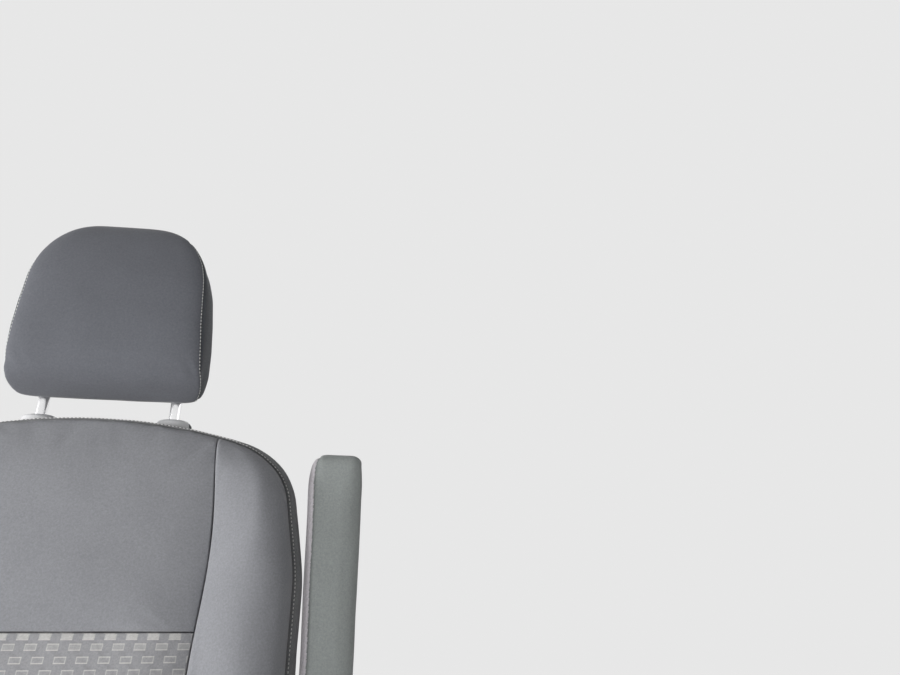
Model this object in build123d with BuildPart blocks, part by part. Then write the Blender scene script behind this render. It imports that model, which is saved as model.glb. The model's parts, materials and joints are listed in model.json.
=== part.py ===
from build123d import *
import math
import os

os.makedirs("parts", exist_ok=True)

# Front swivel seat of a camper van, in millimetres. The origin is the centre of the floor bolts on the
# floor, +Z is up, the seat faces -Y and +X is the inboard side, where the armrest is.

# Sides of the seat: name of the side, its sign along X
SIDES = (("inboard", 1), ("outboard", -1))

# Pedestal of folded sheet
pedestal_width = 380
pedestal_depth = 340
pedestal_height = 220
sheet = 3
bend_radius = 5
foot_width = 40
lip_width = 36
bolt_spacing_y = 260
bolt_radius = 5.5
window_width = 124
window_height = 84
front_rail_height = 38
top_plate = 5
vent_length = 60
vent_width = 7
vent_pitch = 20
vent_count = 5

# Swivel
swivel_plate = 5
swivel_size = 330
swivel_corner = 40
cable_hole_radius = 60
race_radius = 135
race_wall = 15
race_height = 13
notch_count = 12
notch_width = 10
notch_depth = 6
turntable_plate = 6
running_fit = 0.05
body_gap = 0.3
swivel_lever_y = -60
swivel_lever_width = 24
swivel_lever_reach = 70
grip_width = 34
grip_height = 18
grip_length = 44

# Slide rails
rail_spacing = 370
rail_length = 420
rail_width = 44
rail_height = 24
rail_wall = 2.5
rail_lip = 9
rail_rise = 10
rail_flange = 4
rail_stem = 14
rail_foot = 7
rail_notch_pitch = 12
rail_notch_count = 24
rail_notch_width = 6
upper_rail_length = 440
slide_bar_radius = 6
slide_bar_bend = 40
slide_bar_reach = 75
slide_bar_inset = 13
slide_bar_lug = 34

# Seat frame
web_wall = 3
web_gap = 20
web_height = 63
web_front_y = -200
web_rear_y = 200
web_hole_radius = 17
web_hole_pitch = 90
pivot_y = 235
pivot_z = 385
ear_radius = 42
ear_length = 50
recliner_radius = 36
recliner_disc = 3
recliner_pin_radius = 8
recliner_plate = 5
pan_wall = 2
pan_rim = 25
pan_front_y = -240
pan_rear_y = 190
rear_tube_radius = 11
cover_depth = 35
cover_wall = 3
cover_drop = 16
cover_hub_radius = 50
cover_front_y = -225
cover_edge = 8
handwheel_radius = 48
handwheel_depth = 24
handwheel_grips = 12
handwheel_grip_radius = 6

# Seat cushion
seam_half_width = 150
cushion_side_inset = 4
cushion_front_y = -265
cushion_rear_y = 205
cushion_top_front = 472
cushion_top_rear = 445
cushion_nose = 46
cushion_crown = 6
apron_z = 310
bolster_rise = 18
bolster_edge = 38
bolster_inner_edge = 14
cushion_corner = 55
cushion_overhang_gap = 2
hub_notch_gap = 13

# Belt buckle on the inboard side
strap_wall = 3
strap_width = 24
strap_low_z = 296
strap_y = 140
buckle_jog = 18
buckle_thickness = 24
buckle_width = 54
buckle_height = 66
buckle_z = 395

# Backrest, along the back from the recline axis and forward of it
recline_angle = 12
back_low = 76
back_high = 725
back_half_width = 262
back_rear = -45
back_split = 15
crown_drop = 45
back_corner = 92
shoulder_high = 540
shoulder_taper = 24
shoulder_bend = 250
back_foot_corner = 30
back_rear_edge = 16
insert_high = 480
lumbar_forward = 76
lumbar_tuck = 14
chest_forward = 62
top_forward = 38
back_bolster_rise = 22
back_bolster_edge = 26
rear_panel_inset = 22
rear_panel_wall = 6
recliner_plate_high = 190
recliner_plate_width = 50

# Headrest
post_spacing = 162
post_radius = 7
post_forward = -12
post_depth = 170
post_channel_radius = 9
post_in_pad = 60
sleeve_length = 42
sleeve_width = 29
sleeve_height = 10
sleeve_sink = 8
sleeve_tube_radius = 11
sleeve_tube_depth = 60
headrest_gap = 27
headrest_height = 236
headrest_half_low = 120
headrest_half_high = 106
headrest_corner = 68
headrest_low_corner = 28
headrest_rear = -42
headrest_front = 44
headrest_top_rear = -20
headrest_top_front = 58
headrest_edge = 20
headrest_belly = 22

# Armrest, folded up beside the backrest
armrest_along = 310
armrest_pivot_forward = -5
armrest_gap = 9
armrest_width = 56
armrest_length = 380
armrest_rear = -42
armrest_front = 26
armrest_hub_radius = 34
armrest_tip_radius = 18
armrest_edge = 9
armrest_pin_radius = 9
armrest_boss_radius = 27
armrest_boss_root = 22
armrest_sleeve_radius = 19
armrest_cap_radius = 25
armrest_cap = 4

# Heights and widths that follow from the sizes above
swivel_z = pedestal_height
race_z = swivel_z + swivel_plate
turntable_z = race_z + race_height + body_gap
rail_z = turntable_z + turntable_plate
lower_rail_top = rail_z + rail_height
upper_rail_top = lower_rail_top + rail_rise
frame_z = upper_rail_top + web_wall
web_top = upper_rail_top + web_height
pan_floor = frame_z + pan_wall
overhang_z = web_top + cushion_overhang_gap
rail_x = rail_spacing / 2
web_half_width = rail_x + rail_width / 2 + web_gap
web_inner = web_half_width - web_wall
pan_half_width = web_inner - bend_radius
cover_half_width = web_half_width + cover_depth
cushion_half_width = cover_half_width - cushion_side_inset

# Planes of the reclined backrest: s runs up along the back and u forward, away from it
back_up = (0, math.sin(math.radians(recline_angle)), math.cos(math.radians(recline_angle)))
back_forward = (0, -back_up[2], back_up[1])
pivot = (0, pivot_y, pivot_z)
back_front_view = Plane(origin=pivot, x_dir=(1, 0, 0), z_dir=back_forward)
back_side_view = Plane(origin=pivot, x_dir=back_forward, z_dir=(-1, 0, 0))
back_top_view = Plane(origin=pivot, x_dir=(1, 0, 0), z_dir=back_up)


def keep(piece, node):
    """Labels a finished piece and writes its file."""
    piece.part.label = node
    export_step(piece.part, f"parts/{node}.step")


# Pedestal side panels: foot flange outward, web with a window, lip inward under the top plate
bolt_x = pedestal_width / 2 + foot_width / 2
lip_top = pedestal_height - top_plate
for side, sign in SIDES:
    web_line = sign * (pedestal_width - sheet) / 2
    with BuildPart() as pedestal_side:
        with BuildSketch(Plane.XZ):
            with BuildLine():
                FilletPolyline(
                    (sign * (pedestal_width / 2 + foot_width), sheet / 2),
                    (web_line, sheet / 2),
                    (web_line, lip_top - sheet / 2),
                    (web_line - sign * lip_width, lip_top - sheet / 2),
                    radius=bend_radius,
                )
            trace(line_width=sheet)
        extrude(amount=pedestal_depth / 2, both=True)
        with BuildSketch(Plane.YZ):
            with Locations((0, lip_top / 2)):
                RectangleRounded(window_width, window_height, window_height / 4)
        extrude(amount=pedestal_width, both=True, mode=Mode.SUBTRACT)
        with Locations((sign * bolt_x, -bolt_spacing_y / 2, sheet), (sign * bolt_x, bolt_spacing_y / 2, sheet)):
            Hole(radius=bolt_radius, depth=sheet)
    keep(pedestal_side, f"pedestal_side_{side}")

# Pedestal rear panel, between the side panels and under their lips, with a row of vent slots
inner_width = pedestal_width - 2 * sheet
inner_height = lip_top - sheet
with BuildPart() as pedestal_rear_panel:
    with BuildSketch(Plane.XZ.offset(-pedestal_depth / 2)) as panel_outline:
        with Locations((0, inner_height / 2)):
            Rectangle(inner_width, inner_height)
            chamfer(panel_outline.vertices().group_by(Axis.Y)[-1], bend_radius)
            with GridLocations(vent_pitch, 0, vent_count, 1):
                SlotOverall(vent_length, vent_width, rotation=90, mode=Mode.SUBTRACT)
    extrude(amount=sheet)
keep(pedestal_rear_panel, "pedestal_rear_panel")

# Pedestal front rail, a folded strip across the open front
with BuildPart() as pedestal_front_rail:
    with BuildSketch(Plane.YZ):
        with BuildLine():
            FilletPolyline(
                ((sheet - pedestal_depth) / 2, inner_height - front_rail_height),
                ((sheet - pedestal_depth) / 2, inner_height - sheet / 2),
                ((sheet - pedestal_depth) / 2 + lip_width, inner_height - sheet / 2),
                radius=bend_radius,
            )
        trace(line_width=sheet)
    extrude(amount=inner_width / 2 - bend_radius, both=True)
keep(pedestal_front_rail, "pedestal_front_rail")

# Pedestal top plate with the cable hole
with BuildPart() as pedestal_top_plate:
    with BuildSketch(Plane.XY.offset(lip_top)):
        RectangleRounded(pedestal_width, pedestal_depth, bend_radius)
        Circle(cable_hole_radius, mode=Mode.SUBTRACT)
    extrude(amount=top_plate)
keep(pedestal_top_plate, "pedestal_top_plate")

# Swivel base plate with the outer race, whose rim carries the lock notches
with BuildPart() as swivel_base_plate:
    with BuildSketch(Plane.XY.offset(swivel_z)):
        RectangleRounded(swivel_size, swivel_size, swivel_corner)
        Circle(cable_hole_radius, mode=Mode.SUBTRACT)
    extrude(amount=swivel_plate)
    with BuildSketch(Plane.XY.offset(race_z)):
        Circle(race_radius + race_wall)
        Circle(race_radius, mode=Mode.SUBTRACT)
        with PolarLocations(race_radius + race_wall, notch_count):
            Rectangle(2 * notch_depth, notch_width, mode=Mode.SUBTRACT)
    extrude(amount=race_height)
keep(swivel_base_plate, "swivel_base_plate")

# Swivel top plate with the inner race, which turns inside the outer one
turntable_width = rail_spacing + rail_width + 2 * bend_radius
with BuildPart() as swivel_top_plate:
    with BuildSketch(Plane.XY.offset(turntable_z)):
        RectangleRounded(turntable_width, swivel_size, swivel_corner)
        Circle(cable_hole_radius, mode=Mode.SUBTRACT)
    extrude(amount=turntable_plate)
    with BuildSketch(Plane.XY.offset(race_z + body_gap)):
        Circle(race_radius - running_fit)
        Circle(race_radius - race_wall, mode=Mode.SUBTRACT)
    extrude(amount=race_height)
keep(swivel_top_plate, "swivel_top_plate")

# Swivel lever, a flat bar from the edge of the top plate with a moulded grip
lever_root = -turntable_width / 2
with BuildPart() as swivel_lever:
    with BuildSketch(Plane.XY.offset(turntable_z)):
        with Locations((lever_root, swivel_lever_y)):
            Rectangle(swivel_lever_reach, swivel_lever_width, align=(Align.MAX, Align.CENTER))
    extrude(amount=turntable_plate)
    with BuildSketch(Plane.YZ.offset(lever_root - swivel_lever_reach)):
        with Locations((swivel_lever_y, turntable_z + turntable_plate / 2)):
            SlotOverall(grip_width, grip_height)
    extrude(amount=grip_length)
keep(swivel_lever, "swivel_lever")

# Lower rails: a channel whose lips turn in over the upper rail's foot, with a row of lock notches
for side, sign in SIDES:
    centre_x = sign * rail_x
    edge_x = (rail_width - rail_wall) / 2
    low_z = rail_z + rail_wall / 2
    high_z = lower_rail_top - rail_wall / 2
    with BuildPart() as rail_lower:
        with BuildSketch(Plane.XZ):
            with BuildLine():
                FilletPolyline(
                    (centre_x - edge_x + rail_lip, high_z),
                    (centre_x - edge_x, high_z),
                    (centre_x - edge_x, low_z),
                    (centre_x + edge_x, low_z),
                    (centre_x + edge_x, high_z),
                    (centre_x + edge_x - rail_lip, high_z),
                    radius=rail_wall,
                )
            trace(line_width=rail_wall)
        extrude(amount=rail_length / 2, both=True)
        with BuildSketch(Plane.XY.offset(lower_rail_top)):
            with Locations((centre_x - sign * (edge_x - rail_lip), 0)):
                with GridLocations(0, rail_notch_pitch, 1, rail_notch_count):
                    Rectangle(rail_lip, rail_notch_width)
        extrude(amount=-rail_wall, mode=Mode.SUBTRACT)
    keep(rail_lower, f"rail_lower_{side}")

# Upper rails: foot inside the channel, stem through its slot, flange that carries the seat
foot_half = rail_width / 2 - rail_wall - body_gap
foot_z = rail_z + rail_wall + body_gap
for side, sign in SIDES:
    centre_x = sign * rail_x
    with BuildPart() as rail_upper:
        with BuildSketch(Plane.XZ) as rail_section:
            with Locations((centre_x, foot_z)):
                Rectangle(2 * foot_half, rail_foot, align=(Align.CENTER, Align.MIN))
            fillet(rail_section.vertices().group_by(Axis.Y)[0], rail_wall)
            with Locations((centre_x, foot_z)):
                Rectangle(rail_stem, upper_rail_top - foot_z, align=(Align.CENTER, Align.MIN))
            with Locations((centre_x, upper_rail_top)):
                Rectangle(rail_width, rail_flange, align=(Align.CENTER, Align.MAX))
        extrude(amount=upper_rail_length / 2, both=True)
    keep(rail_upper, f"rail_upper_{side}")

# Slide bar: a round bar bent to a loop under the front of the cushion, on two lugs at the rails
bar_x = rail_x - rail_width / 2 - slide_bar_inset
bar_z = upper_rail_top - slide_bar_radius
bar_front = -upper_rail_length / 2 - slide_bar_reach
bar_rear = -upper_rail_length / 2 + slide_bar_lug
with BuildPart() as slide_bar:
    with BuildLine(Plane.XY.offset(bar_z)) as bar_path:
        FilletPolyline(
            (-bar_x, bar_rear),
            (-bar_x, bar_front),
            (bar_x, bar_front),
            (bar_x, bar_rear),
            radius=slide_bar_bend,
        )
    with BuildSketch(Plane(origin=bar_path.line @ 0, z_dir=bar_path.line % 0)):
        Circle(slide_bar_radius)
    sweep(path=bar_path.line)
    for side, sign in SIDES:
        with BuildSketch(Plane.XY.offset(upper_rail_top)):
            with Locations((sign * bar_x, bar_rear)):
                Rectangle(2 * slide_bar_inset, slide_bar_lug, align=(Align.CENTER, Align.MAX))
        extrude(amount=-rail_flange)
keep(slide_bar, "slide_bar")

# Seat side members: foot on the upper rail, pierced web, ear and recliner disc round the recline axis
foot_inner = rail_x - rail_width / 2
for side, sign in SIDES:
    web_line = sign * (web_half_width - web_wall / 2)
    with BuildPart() as seat_side:
        with BuildSketch(Plane.XZ.offset(-web_rear_y)):
            with BuildLine():
                FilletPolyline(
                    (sign * foot_inner, frame_z - web_wall / 2),
                    (web_line, frame_z - web_wall / 2),
                    (web_line, web_top),
                    radius=bend_radius,
                )
            trace(line_width=web_wall)
        extrude(amount=web_rear_y - web_front_y)
        with BuildSketch(Plane.YZ.offset(sign * web_inner)):
            with Locations((web_rear_y, frame_z)):
                Rectangle(ear_length, web_height - web_wall, align=(Align.MAX, Align.MIN))
            with Locations((pivot_y, pivot_z)):
                Circle(ear_radius)
            make_hull()
        extrude(amount=sign * web_wall)
        with BuildSketch(Plane.YZ.offset(sign * web_inner)):
            with Locations((pivot_y, pivot_z)):
                Circle(recliner_radius)
        extrude(amount=-sign * recliner_disc)
        with BuildSketch(Plane.YZ):
            with Locations((pivot_y, pivot_z)):
                Circle(recliner_pin_radius + running_fit)
            with Locations(((web_rear_y - ear_length + web_front_y) / 2, (frame_z + web_top) / 2)):
                with GridLocations(web_hole_pitch, 0, 3, 1):
                    Circle(web_hole_radius)
        extrude(amount=sign * web_half_width, mode=Mode.SUBTRACT)
    keep(seat_side, f"seat_side_{side}")

# Cushion pan: a shallow tray on the feet of the side members
with BuildPart() as cushion_pan:
    with BuildSketch(Plane.XY.offset(frame_z)):
        with Locations((0, (pan_front_y + pan_rear_y) / 2)):
            Rectangle(2 * pan_half_width, pan_rear_y - pan_front_y)
    extrude(amount=pan_rim)
    offset(amount=-pan_wall, openings=cushion_pan.faces().sort_by(Axis.Z)[-1])
keep(cushion_pan, "cushion_pan")

# Rear tube between the side members, behind the pan
with BuildPart() as seat_rear_tube:
    with BuildSketch(Plane.YZ):
        with Locations((pan_rear_y + pan_wall + rear_tube_radius, frame_z + bend_radius + rear_tube_radius)):
            Circle(rear_tube_radius)
            Circle(rear_tube_radius - pan_wall, mode=Mode.SUBTRACT)
    extrude(amount=web_inner, both=True)
keep(seat_rear_tube, "seat_rear_tube")

# Side covers: moulded shells outside the side members, with a round hub over the recliner
cover_low = upper_rail_top - cover_drop
for side, sign in SIDES:
    with BuildPart() as side_cover:
        with BuildSketch(Plane.YZ.offset(sign * web_half_width)):
            with Locations((web_rear_y, cover_low)):
                Rectangle(ear_length, web_top - cover_low, align=(Align.MAX, Align.MIN))
            with Locations((pivot_y, pivot_z)):
                Circle(cover_hub_radius)
            make_hull()
            with Locations((cover_front_y, cover_low)):
                Rectangle(web_rear_y - cover_front_y, web_top - cover_low, align=(Align.MIN, Align.MIN))
        extrude(amount=sign * cover_depth)
        outer_face = side_cover.faces().sort_by(Axis.X)[-1 if sign > 0 else 0]
        chamfer(outer_face.edges(), cover_edge)
        inner_face = side_cover.faces().sort_by(Axis.X)[0 if sign > 0 else -1]
        offset(amount=-cover_wall, openings=inner_face)
    keep(side_cover, f"side_cover_{side}")

# Recline handwheel on the outboard hub, with a scalloped rim
with BuildPart() as recline_handwheel:
    with BuildSketch(Plane.YZ.offset(-cover_half_width)):
        with Locations((pivot_y, pivot_z)):
            Circle(handwheel_radius)
            with PolarLocations(handwheel_radius, handwheel_grips):
                Circle(handwheel_grip_radius, mode=Mode.SUBTRACT)
    extrude(amount=-handwheel_depth)
keep(recline_handwheel, "recline_handwheel")

# Seat cushion: a side profile with a rounded nose, shared by the centre and the bolsters
def cushion_profile(rise):
    """The closed side profile of the cushion, its top raised in the middle by a bolster's rise."""
    middle_y = (cushion_front_y + cushion_rear_y) / 2
    middle_z = (cushion_top_front + cushion_top_rear) / 2
    with BuildSketch() as profile:
        with BuildLine():
            Polyline(
                (cushion_front_y, cushion_top_front),
                (cushion_front_y, apron_z),
                (pan_front_y + pan_wall, apron_z),
                (pan_front_y + pan_wall, pan_floor),
                (pan_rear_y - pan_wall, pan_floor),
                (pan_rear_y - pan_wall, overhang_z),
                (cushion_rear_y, overhang_z),
                (cushion_rear_y, cushion_top_rear),
            )
            ThreePointArc(
                (cushion_rear_y, cushion_top_rear),
                (middle_y, middle_z + cushion_crown + rise),
                (cushion_front_y, cushion_top_front),
            )
        make_face()
        fillet(profile.vertices().group_by(Axis.X)[0].sort_by(Axis.Y)[-1], cushion_nose)
    return profile.sketch


with BuildPart() as cushion_center:
    with BuildSketch(Plane.YZ):
        add(cushion_profile(0))
    extrude(amount=seam_half_width, both=True)
keep(cushion_center, "cushion_center")

for side, sign in SIDES:
    notch_x = web_inner - recliner_disc - hub_notch_gap
    with BuildPart() as cushion_bolster:
        with BuildSketch(Plane.YZ.offset(sign * seam_half_width)):
            add(cushion_profile(bolster_rise))
        extrude(amount=sign * (cushion_half_width - seam_half_width))
        with BuildSketch(Plane.XZ.offset(-cushion_rear_y)) as bolster_section:
            with Locations((sign * seam_half_width, pan_floor)):
                Rectangle(
                    cushion_half_width - seam_half_width,
                    cushion_top_front + bolster_rise - pan_floor,
                    align=(Align.MIN if sign > 0 else Align.MAX, Align.MIN),
                )
            corners = bolster_section.vertices().group_by(Axis.Y)[-1].sort_by(Axis.X)
            fillet(corners[-1 if sign > 0 else 0], bolster_edge)
            fillet(corners[0 if sign > 0 else -1], bolster_inner_edge)
            with Locations((sign * cushion_half_width, pan_floor)):
                Rectangle(
                    cushion_half_width - pan_half_width + pan_wall,
                    overhang_z - pan_floor,
                    align=(Align.MAX if sign > 0 else Align.MIN, Align.MIN),
                    mode=Mode.SUBTRACT,
                )
        extrude(amount=cushion_rear_y - cushion_front_y, mode=Mode.INTERSECT)
        with BuildSketch(Plane.XY.offset(pan_floor)) as bolster_plan:
            with BuildLine():
                FilletPolyline(
                    (sign * seam_half_width, cushion_front_y),
                    (sign * cushion_half_width, cushion_front_y),
                    (sign * cushion_half_width, web_rear_y - ear_length - hub_notch_gap),
                    radius=cushion_corner,
                )
                Polyline(
                    (sign * cushion_half_width, web_rear_y - ear_length - hub_notch_gap),
                    (sign * notch_x, web_rear_y - ear_length - hub_notch_gap),
                    (sign * notch_x, cushion_rear_y),
                    (sign * seam_half_width, cushion_rear_y),
                    (sign * seam_half_width, cushion_front_y),
                )
            make_face()
        extrude(amount=cushion_top_front + bolster_rise - pan_floor, mode=Mode.INTERSECT)
    keep(cushion_bolster, f"cushion_bolster_{side}")

# Buckle strap, bolted low on the inboard cover and stepped out beside the cushion
strap_x = cover_half_width + strap_wall / 2
with BuildPart() as buckle_stalk:
    with BuildSketch(Plane.XZ.offset(-strap_y)):
        with BuildLine():
            FilletPolyline(
                (strap_x, strap_low_z),
                (strap_x, web_top),
                (strap_x + buckle_jog, web_top + 2 * buckle_jog),
                (strap_x + buckle_jog, buckle_z),
                radius=strap_wall,
            )
        trace(line_width=strap_wall)
    extrude(amount=strap_width / 2, both=True)
keep(buckle_stalk, "buckle_stalk")

with BuildPart() as belt_buckle:
    with BuildSketch(Plane.XY.offset(buckle_z)):
        with Locations((strap_x + buckle_jog, strap_y)):
            RectangleRounded(buckle_thickness, buckle_width, buckle_thickness / 3)
    extrude(amount=buckle_height)
keep(belt_buckle, "belt_buckle")

# Backrest outline, seen from the front: straight sides, tapered shoulders, a crowned top and rounded corners
def back_outline(inset, low, low_radius):
    """The front view of the backrest, an inset inside its edge, from a height along the back."""
    half = back_half_width - inset
    high = back_high - inset
    crown_half = half - shoulder_taper
    crown_low = high - crown_drop
    with BuildSketch() as outline:
        with BuildLine():
            Polyline((-crown_half, crown_low), (-half, shoulder_high), (-half, low), (half, low))
            Polyline((half, low), (half, shoulder_high), (crown_half, crown_low))
            ThreePointArc((crown_half, crown_low), (0, high), (-crown_half, crown_low))
        make_face()
        fillet(outline.vertices().group_by(Axis.Y)[1], shoulder_bend)
        fillet(outline.vertices().group_by(Axis.Y)[-1], back_corner)
        fillet(outline.vertices().group_by(Axis.Y)[0], low_radius)
    return outline.sketch


post_x = post_spacing / 2
collar_z = back_high - crown_drop * (post_x / back_half_width) ** 2 - sleeve_sink
plate_outer = web_inner - recliner_disc - body_gap
plate_inner = plate_outer - recliner_plate
boss_root = back_half_width - armrest_boss_root

with BuildPart() as back_core:
    with BuildSketch(back_front_view.offset(back_rear)):
        add(back_outline(0, back_low, back_foot_corner))
    extrude(amount=back_split - back_rear)
    rear_face = back_core.faces().sort_by(Axis(pivot, back_forward))[0]
    chamfer(rear_face.edges(), back_rear_edge)
    with BuildSketch(back_top_view.offset(back_high - post_depth - sleeve_tube_depth / 2)):
        with Locations((post_x, -post_forward), (-post_x, -post_forward)):
            Circle(post_channel_radius)
    extrude(amount=post_depth + sleeve_tube_depth, mode=Mode.SUBTRACT)
    with BuildSketch(back_top_view.offset(collar_z)):
        with Locations((post_x, -post_forward), (-post_x, -post_forward)):
            SlotOverall(sleeve_length, sleeve_width)
    extrude(amount=sleeve_sink + crown_drop, mode=Mode.SUBTRACT)
    with BuildSketch(back_top_view.offset(collar_z - sleeve_tube_depth)):
        with Locations((post_x, -post_forward), (-post_x, -post_forward)):
            Circle(sleeve_tube_radius)
    extrude(amount=sleeve_tube_depth, mode=Mode.SUBTRACT)
    for side, sign in SIDES:
        with BuildSketch(back_side_view.offset(-sign * plate_inner)):
            with Locations((-recliner_plate_width / 2 - post_forward, 0)):
                Rectangle(recliner_plate_width, recliner_plate_high, align=(Align.CENTER, Align.MIN))
        extrude(amount=-sign * recliner_plate, mode=Mode.SUBTRACT)
    with BuildSketch(back_side_view.offset(-boss_root)):
        with Locations((armrest_pivot_forward, armrest_along)):
            Circle(armrest_boss_radius)
    extrude(amount=-armrest_boss_root - armrest_gap, mode=Mode.SUBTRACT)
keep(back_core, "back_core")

# Backrest side profile of the front pads, in u and s, with an edge roll at the top and the bottom
def back_profile(rise):
    """The side profile of the padding in front of the split plane, its belly raised by a bolster's rise."""
    with BuildSketch() as profile:
        with BuildLine():
            Polyline(
                (chest_forward + rise, insert_high),
                (top_forward, back_high + crown_drop),
                (back_split, back_high + crown_drop),
                (back_split, back_low),
                (lumbar_forward - lumbar_tuck, back_low),
            )
            ThreePointArc(
                (lumbar_forward - lumbar_tuck, back_low),
                (lumbar_forward + rise, (back_low + insert_high) / 2),
                (chest_forward + rise, insert_high),
            )
        make_face()
    return profile.sketch


# Centre pads: plain above the insert seam and patterned below it
CENTER_PADS = (("back_center_pad", insert_high, back_high), ("back_insert_pad", back_low, insert_high))
for node, pad_low, pad_high in CENTER_PADS:
    with BuildPart() as center_pad:
        with BuildSketch(back_side_view):
            add(back_profile(0))
        extrude(amount=seam_half_width, both=True)
        with BuildSketch(back_front_view.offset(back_split)):
            add(back_outline(0, back_low, back_foot_corner))
        extrude(amount=lumbar_forward, mode=Mode.INTERSECT)
        with BuildSketch(back_front_view.offset(back_split)):
            with Locations((0, pad_low)):
                Rectangle(2 * seam_half_width, pad_high - pad_low, align=(Align.CENTER, Align.MIN))
        extrude(amount=lumbar_forward, mode=Mode.INTERSECT)
    keep(center_pad, node)

# Backrest bolsters, rounded along their outer and inner front edges
for side, sign in SIDES:
    with BuildPart() as back_bolster:
        with BuildSketch(back_side_view.offset(-sign * seam_half_width)):
            add(back_profile(back_bolster_rise))
        extrude(amount=-sign * (back_half_width - seam_half_width))
        with BuildSketch(back_front_view.offset(back_split)):
            add(back_outline(0, back_low, back_foot_corner))
        extrude(amount=lumbar_forward + back_bolster_rise, mode=Mode.INTERSECT)
        with BuildSketch(back_top_view) as bolster_section:
            with Locations((sign * seam_half_width, -back_split)):
                Rectangle(
                    back_half_width - seam_half_width,
                    lumbar_forward + back_bolster_rise + body_gap - back_split,
                    align=(Align.MIN if sign > 0 else Align.MAX, Align.MAX),
                )
            corners = bolster_section.vertices().group_by(Axis.Y)[0].sort_by(Axis.X)
            fillet(corners[-1 if sign > 0 else 0], back_bolster_edge)
            fillet(corners[0 if sign > 0 else -1], bolster_inner_edge)
        extrude(amount=back_high, mode=Mode.INTERSECT)
        if side == "inboard":
            with BuildSketch(back_side_view.offset(-boss_root)):
                with Locations((armrest_pivot_forward, armrest_along)):
                    Circle(armrest_boss_radius)
            extrude(amount=-armrest_boss_root - armrest_gap, mode=Mode.SUBTRACT)
    keep(back_bolster, f"back_bolster_{side}")

# Rear panel of the backrest
with BuildPart() as back_rear_cover:
    with BuildSketch(back_front_view.offset(back_rear)):
        add(back_outline(rear_panel_inset, back_low + rear_panel_inset, back_foot_corner))
    extrude(amount=-rear_panel_wall)
keep(back_rear_cover, "back_rear_panel")

# Recliner plates: an eye and a pin on the recline axis, and a strap up into the core
for side, sign in SIDES:
    with BuildPart() as recliner:
        with BuildSketch(back_side_view.offset(-sign * plate_inner)):
            Circle(recliner_radius)
            with Locations((-recliner_plate_width / 2 - post_forward, 0)):
                Rectangle(recliner_plate_width, recliner_plate_high, align=(Align.CENTER, Align.MIN))
        extrude(amount=-sign * recliner_plate)
        with BuildSketch(back_side_view.offset(-sign * plate_outer)):
            Circle(recliner_pin_radius)
        extrude(amount=-sign * (web_half_width - plate_outer))
    keep(recliner, f"recliner_plate_{side}")

with BuildPart() as recliner_rod:
    with BuildSketch(Plane.YZ):
        with Locations((pivot_y, pivot_z)):
            Circle(recliner_pin_radius)
    extrude(amount=plate_inner, both=True)
keep(recliner_rod, "recliner_rod")

# Headrest sleeves: a domed collar on the backrest and a tube that guides the post
for side, sign in SIDES:
    with BuildPart() as headrest_sleeve:
        with BuildSketch(back_top_view.offset(collar_z)):
            with Locations((sign * post_x, -post_forward)):
                SlotOverall(sleeve_length, sleeve_width)
        extrude(amount=sleeve_sink + sleeve_height)
        top_face = headrest_sleeve.faces().sort_by(Axis(pivot, back_up))[-1]
        chamfer(top_face.edges(), sleeve_height / 2)
        with BuildSketch(back_top_view.offset(collar_z)):
            with Locations((sign * post_x, -post_forward)):
                Circle(sleeve_tube_radius)
        extrude(amount=-sleeve_tube_depth)
        with BuildSketch(back_top_view.offset(collar_z - sleeve_tube_depth)):
            with Locations((sign * post_x, -post_forward)):
                Circle(post_radius + running_fit)
        extrude(amount=sleeve_tube_depth + sleeve_sink + sleeve_height, mode=Mode.SUBTRACT)
    keep(headrest_sleeve, f"headrest_sleeve_{side}")

# Headrest posts
headrest_low = back_high + headrest_gap
for side, sign in SIDES:
    with BuildPart() as headrest_post:
        with BuildSketch(back_top_view.offset(back_high - post_depth)):
            with Locations((sign * post_x, -post_forward)):
                Circle(post_radius)
        extrude(amount=post_depth + headrest_gap + post_in_pad)
        chamfer(headrest_post.faces().sort_by(Axis(pivot, back_up))[0].edges(), post_radius / 2)
    keep(headrest_post, f"headrest_post_{side}")

# Headrest pad: a tapered outline with round shoulders, cut by a bellied side profile
headrest_high = headrest_low + headrest_height
with BuildPart() as headrest_pad:
    with BuildSketch(back_front_view.offset(2 * headrest_rear)) as pad_outline:
        with BuildLine():
            Polyline(
                (-headrest_half_low, headrest_low),
                (headrest_half_low, headrest_low),
                (headrest_half_high, headrest_high),
                (-headrest_half_high, headrest_high),
                close=True,
            )
        make_face()
        fillet(pad_outline.vertices().group_by(Axis.Y)[-1], headrest_corner)
        fillet(pad_outline.vertices().group_by(Axis.Y)[0], headrest_low_corner)
    extrude(amount=headrest_height)
    with BuildSketch(back_side_view) as pad_profile:
        with BuildLine():
            Polyline(
                (headrest_front, headrest_low),
                (headrest_rear, headrest_low),
                (headrest_top_rear, headrest_high),
                (headrest_top_front, headrest_high),
            )
            ThreePointArc(
                (headrest_top_front, headrest_high),
                (headrest_front + headrest_belly, headrest_low + headrest_height * 0.45),
                (headrest_front, headrest_low),
            )
        make_face()
        fillet(pad_profile.vertices(), headrest_edge)
    extrude(amount=2 * headrest_half_low, both=True, mode=Mode.INTERSECT)
    with BuildSketch(back_top_view.offset(headrest_low)):
        with Locations((post_x, -post_forward), (-post_x, -post_forward)):
            Circle(post_radius)
    extrude(amount=post_in_pad, mode=Mode.SUBTRACT)
keep(headrest_pad, "headrest_pad")

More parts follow.
